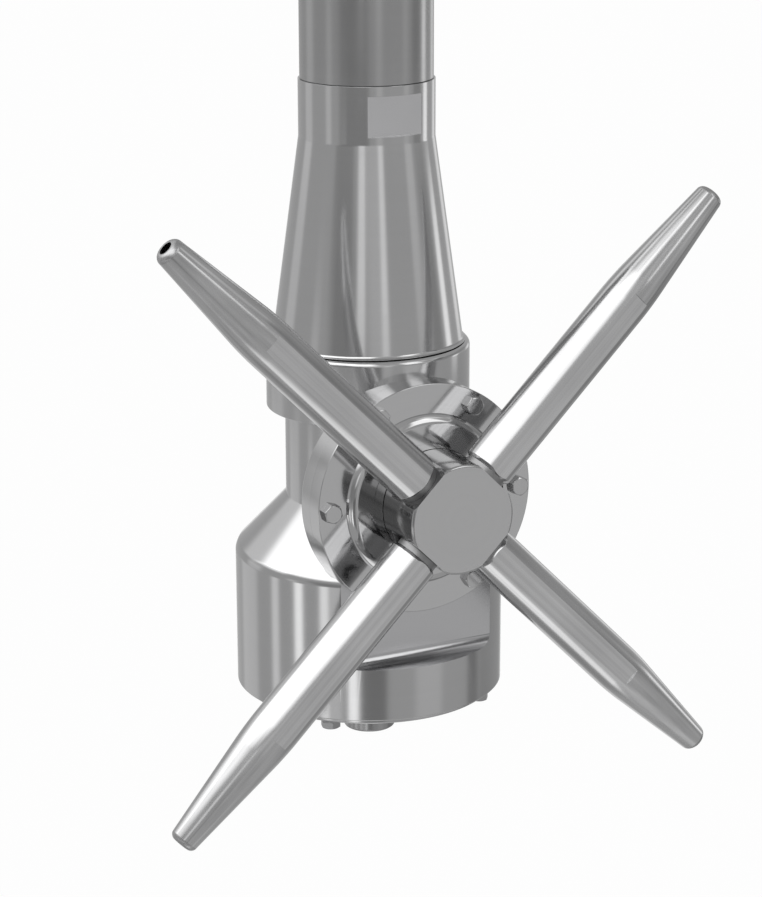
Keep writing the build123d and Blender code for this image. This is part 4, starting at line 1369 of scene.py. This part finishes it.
@dataclass
class InnerWorks:
    """The solids inside, which keep their shapes and get their finishes.

    Attributes:
        plastic: Names of the solids in bearing plastic.
        rubber: Names of the seals.
        balls: Names of the polished balls.
        hub_steel: Names of the steel solids that were turned about the hub's axis.
    """

    plastic: tuple[str, ...] = (
        "guide_bush", "stem_bush", "frame_bush", "ball_cage", "collar_bush",
        "main_bush", "hub_bush", "hub_thrust_ring", "pivot_bush",
    )
    rubber: tuple[str, ...] = ("hub_cover_seal", "drum_cover_seal")
    balls: tuple[str, ...] = ("main_balls",)
    hub_steel: tuple[str, ...] = ("hub_bevel_gear",)

    def finish_of(self, node: str) -> Finish:
        """The finish that a solid wears.

        Args:
            node: Name of the solid.

        Returns:
            Its finish.
        """
        if node in self.plastic:
            return FINISHES.plastic
        if node in self.rubber:
            return FINISHES.rubber
        if node in self.balls:
            return FINISHES.ball
        if node in self.hub_steel:
            return FINISHES.hub_inner
        return FINISHES.inner

    def build(self) -> None:
        """Dresses every solid."""
        for name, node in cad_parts.items():
            finish = self.finish_of(name)
            node.data.materials.clear()
            node.data.materials.append(finish.material())
            if not node.hide_render:
                log.info("%s: solid kept, in %s", name, finish.name)


# Studio


@dataclass(frozen=True)
class Panel:
    """One soft light panel that the metal mirrors.

    Attributes:
        azimuth: Angle to the right of the camera's side, in degrees.
        elevation: Angle above the horizon, in degrees.
        half_width: Half of its width, in degrees.
        half_height: Half of its height, in degrees.
        soft: Width of its soft edge, in degrees.
        level: How much brighter than the room it is; below 0 for a dark card.
    """

    azimuth: float
    elevation: float
    half_width: float
    half_height: float
    soft: float
    level: float


# One row for each panel, in the order of Panel's fields
PANELS = (
    (-53, 46, 56, 13, 11, 1.5), (-98, 26, 16, 5, 7, 0.75), (-3, 26, 12, 4, 5, 0.6),
    (-45, 64, 20, 4, 6, 0.6), (-128, 30, 10, 14, 8, 0.35), (-150, 50, 12, 10, 8, 0.35),
    (70, 50, 10, 8, 6, 0.4), (54, 32, 9, 15, 4, 1.15), (22, 28, 8, 12, 6, 0.14),
    (95, 34, 6, 5, 5, 0.25), (98, 16, 12, 6, 5, -0.16), (130, 15, 14, 7, 6, -0.1),
    (-171, -10, 3, 22, 4, 0.3), (-22, -4, 20, 4, 8, -0.17), (-113, -4, 7, 6, 5, 0.2),
    (-67, -6, 3, 5, 4, 0.2), (21, -6, 3, 6, 4, 0.12), (70, -3, 3, 3, 4, 0.12),
    (94, -3, 7, 4, 5, -0.14), (115, -6, 4, 5, 3, 0.85), (149, -2, 5, 6, 4, 0.45),
    (-112, 7, 7, 3, 5, 0.15), (-37, 8, 13, 3, 5, -0.12), (-9, 6, 3.5, 4, 3, 0.55),
    (-39, -9, 3, 2, 3, 0.12), (7, 7, 10, 4, 4, 0.13), (22, 7, 2.5, 4, 3, 0.5),
    (72, 7, 5, 3, 4, 0.19), (-126, -22, 11, 5, 6, 0.2), (-88, -22, 2.5, 4, 3, 0.45),
    (-63, -22, 2.5, 4, 3, 1.0), (-39, -22, 2.5, 4, 3, 0.8), (-29, -22, 3, 4, 3, 0.25),
    (-14, -23, 3, 4, 3, 1.1), (4, -19, 9, 7, 4, -0.24), (53, -18, 10, 7, 5, 0.13),
    (102, -22, 5, 4, 4, -0.18), (135, -22, 20, 5, 8, -0.12), (172, -22, 3, 4, 3, 0.4),
    (-165, -42, 15, 10, 8, 0.28), (176, -38, 8, 10, 8, 0.28), (112, -40, 18, 9, 8, -0.12),
    (-12, -71, 26, 7, 9, 0.8), (35, -62, 30, 8, 10, 0.18), (-120, -70, 28, 8, 8, -0.13),
)


@dataclass(frozen=True)
class Lamp:
    """One square soft lamp that looks at the hub.

    Attributes:
        name: Name of the lamp.
        place: Where it hangs, in metres.
        size: Length of its sides, in metres.
        power: Its power in watts.
    """

    name: str
    place: tuple[float, float, float]
    size: float
    power: float

    def hang(self) -> None:
        """Makes the lamp, which the metal sees as panels of the dome instead."""
        data = bpy.data.lights.new(self.name, "AREA")
        data.shape = "SQUARE"
        data.size = self.size
        data.energy = self.power
        lamp = bpy.data.objects.new(self.name, data)
        bpy.context.scene.collection.objects.link(lamp)
        lamp.location = self.place
        aim = Vector((0, 0, HUB_HEIGHT * MM)) - Vector(self.place)
        lamp.rotation_euler = aim.to_track_quat("-Z", "Y").to_euler()
        lamp.visible_camera = False
        lamp.visible_glossy = False


@dataclass
class Studio:
    """Floor, lamps, mirrored light panels, world and camera.

    Levels are strengths of light, lengths are in metres and angles in radians, but the sensor
    and the lens are in millimetres.
    """

    room_level: float = 0.46
    brightness: float = 1.12
    world_level: float = 0.55
    floor_colour: Colour = (0.86, 0.86, 0.86)
    floor_roughness: float = 0.9
    floor_white: float = 0.97
    sensor: float = 36.0
    camera_place: tuple[float, float, float] = (-0.525988, -1.075809, 0.113742)
    camera_turn: float = -0.005
    camera_pitch: float = -0.282
    camera_roll: float = -0.003
    lens: float = 107.46
    dome_radius: float = 2.4
    dome_segments: tuple[int, int] = (96, 48)
    dome_centre: tuple[float, float, float] = (0.0, -0.04, -0.22)
    floor_height: float = -2.8
    floor_reach: float = 30.0
    lamps: tuple[Lamp, ...] = (
        Lamp("top_lamp", (-0.3, -0.4, 1.5), 1.8, 22.0),
        Lamp("left_lamp", (-1.7, -0.9, 0.6), 1.4, 12.0),
        Lamp("right_lamp", (1.6, -1.0, 0.3), 1.2, 7.0),
    )
    panels: tuple[Panel, ...] = tuple(Panel(*row) for row in PANELS)

    def build(self) -> None:
        """Makes the whole studio."""
        self.world()
        self.dome()
        self.floor()
        for lamp in self.lamps:
            lamp.hang()
        self.camera()

    def world(self) -> None:
        """White behind the object and a plain level for everything else."""
        world = bpy.data.worlds.new("studio")
        world.use_nodes = True
        bpy.context.scene.world = world
        tree = world.node_tree
        tree.nodes.clear()
        shader = Shader(tree)
        levels = [
            shader.node("ShaderNodeBackground", {}, {"Color": WHITE, "Strength": strength})
            for strength in (self.world_level, 1.0)
        ]
        seen = self.seen_directly(shader)
        mix = shader.node("ShaderNodeMixShader", {}, {0: seen, 1: levels[0], 2: levels[1]})
        shader.feed(tree.nodes.new("ShaderNodeOutputWorld"), {"Surface": mix})

    @staticmethod
    def seen_directly(shader: Shader) -> Signal:
        """Tells rays from the camera, and those that metal or glass sends on.

        Args:
            shader: The nodes in which it is asked.

        Returns:
            1 for such rays and 0 for others.
        """
        path = shader.node("ShaderNodeLightPath", {}, {}, "Is Camera Ray").socket.node
        camera = Signal(shader, path.outputs["Is Camera Ray"])
        glossy = Signal(shader, path.outputs["Is Glossy Ray"])
        through = Signal(shader, path.outputs["Is Transmission Ray"])
        return (camera + glossy + through).held()

    def dome(self) -> None:
        """Round the object, the panels and cards that its metal mirrors."""
        shape = bmesh.new()
        columns, rows = self.dome_segments
        bmesh.ops.create_uvsphere(
            shape, u_segments=columns, v_segments=rows, radius=self.dome_radius
        )
        bmesh.ops.translate(shape, vec=self.dome_centre, verts=shape.verts)
        made = as_object(shape, "mirrored_studio")
        made.data.shade_smooth()
        material = bpy.data.materials.new("mirrored_panels")
        material.use_nodes = True
        tree = material.node_tree
        tree.nodes.clear()
        shader = Shader(tree)
        place = shader.node("ShaderNodeTexCoord", {}, {}, "Object")
        reach = shader.node(
            "ShaderNodeVectorMath", {"operation": "SUBTRACT"}, {0: place, 1: self.dome_centre}
        )
        turn = -math.atan2(self.camera_place[1], self.camera_place[0])
        facing = shader.node(
            "ShaderNodeMapping",
            {"vector_type": "POINT"},
            {"Vector": reach, "Rotation": (0, 0, turn)},
        )
        x, y, z = shader.parts(facing)
        azimuth = y.angle_over(x) * math.degrees(1.0)
        elevation = (z / self.dome_radius).arcsine() * math.degrees(1.0)
        level = self.room_level
        for panel in self.panels:
            across = (panel.half_width + panel.soft - abs(azimuth - panel.azimuth)) / panel.soft
            up = (panel.half_height + panel.soft - abs(elevation - panel.elevation)) / panel.soft
            level = across.held() * up.held() * panel.level + level
        glow = shader.node(
            "ShaderNodeEmission", {}, {"Color": level * self.brightness, "Strength": 1.0}
        )
        shader.feed(tree.nodes.new("ShaderNodeOutputMaterial"), {"Surface": glow})
        made.data.materials.append(material)
        made.visible_camera = False
        made.visible_diffuse = False
        made.visible_transmission = False
        made.visible_shadow = False

    def floor(self) -> None:
        """Pale floor well below the hanging mixer."""
        shape = bmesh.new()
        bmesh.ops.create_grid(shape, x_segments=1, y_segments=1, size=self.floor_reach)
        bmesh.ops.translate(shape, vec=(0, 0, self.floor_height), verts=shape.verts)
        made = as_object(shape, "floor")
        material = bpy.data.materials.new("pale_floor")
        material.use_nodes = True
        tree = material.node_tree
        surface = tree.nodes["Principled BSDF"]
        surface.inputs["Base Color"].default_value = (*self.floor_colour, 1)
        surface.inputs["Roughness"].default_value = self.floor_roughness
        shader = Shader(tree)
        white = shader.node("ShaderNodeEmission", {}, {"Color": WHITE, "Strength": 1.0})
        seen = self.seen_directly(shader) * self.floor_white
        matt = Signal(shader, surface.outputs["BSDF"])
        mix = shader.node("ShaderNodeMixShader", {}, {0: seen, 1: matt, 2: white})
        shader.feed(tree.nodes["Material Output"], {"Surface": mix})
        made.data.materials.append(material)

    def camera(self) -> None:
        """Camera at the photograph's place and angle."""
        x, y, _ = self.camera_place
        heading = math.atan2(-y, -x) + self.camera_turn
        upright = math.pi / 2
        data = bpy.data.cameras.new("photo_camera")
        data.sensor_width = self.sensor
        data.lens = self.lens
        camera = bpy.data.objects.new("photo_camera", data)
        bpy.context.scene.collection.objects.link(camera)
        camera.matrix_world = (
            Matrix.Translation(self.camera_place)
            @ Matrix.Rotation(heading - upright, 4, "Z")
            @ Matrix.Rotation(upright + self.camera_pitch, 4, "X")
            @ Matrix.Rotation(self.camera_roll, 4, "Z")
        )
        bpy.context.scene.camera = camera
        bpy.context.scene.view_settings.view_transform = "Standard"


def main() -> None:
    """Builds the mixer and its studio."""
    logging.basicConfig(level=logging.INFO, format="%(name)s: %(message)s")
    for assembly in (Hanger(), Turret(), NozzleHead(), InnerWorks()):
        assembly.build()
    Studio().build()


if __name__ == "__main__":
    main()
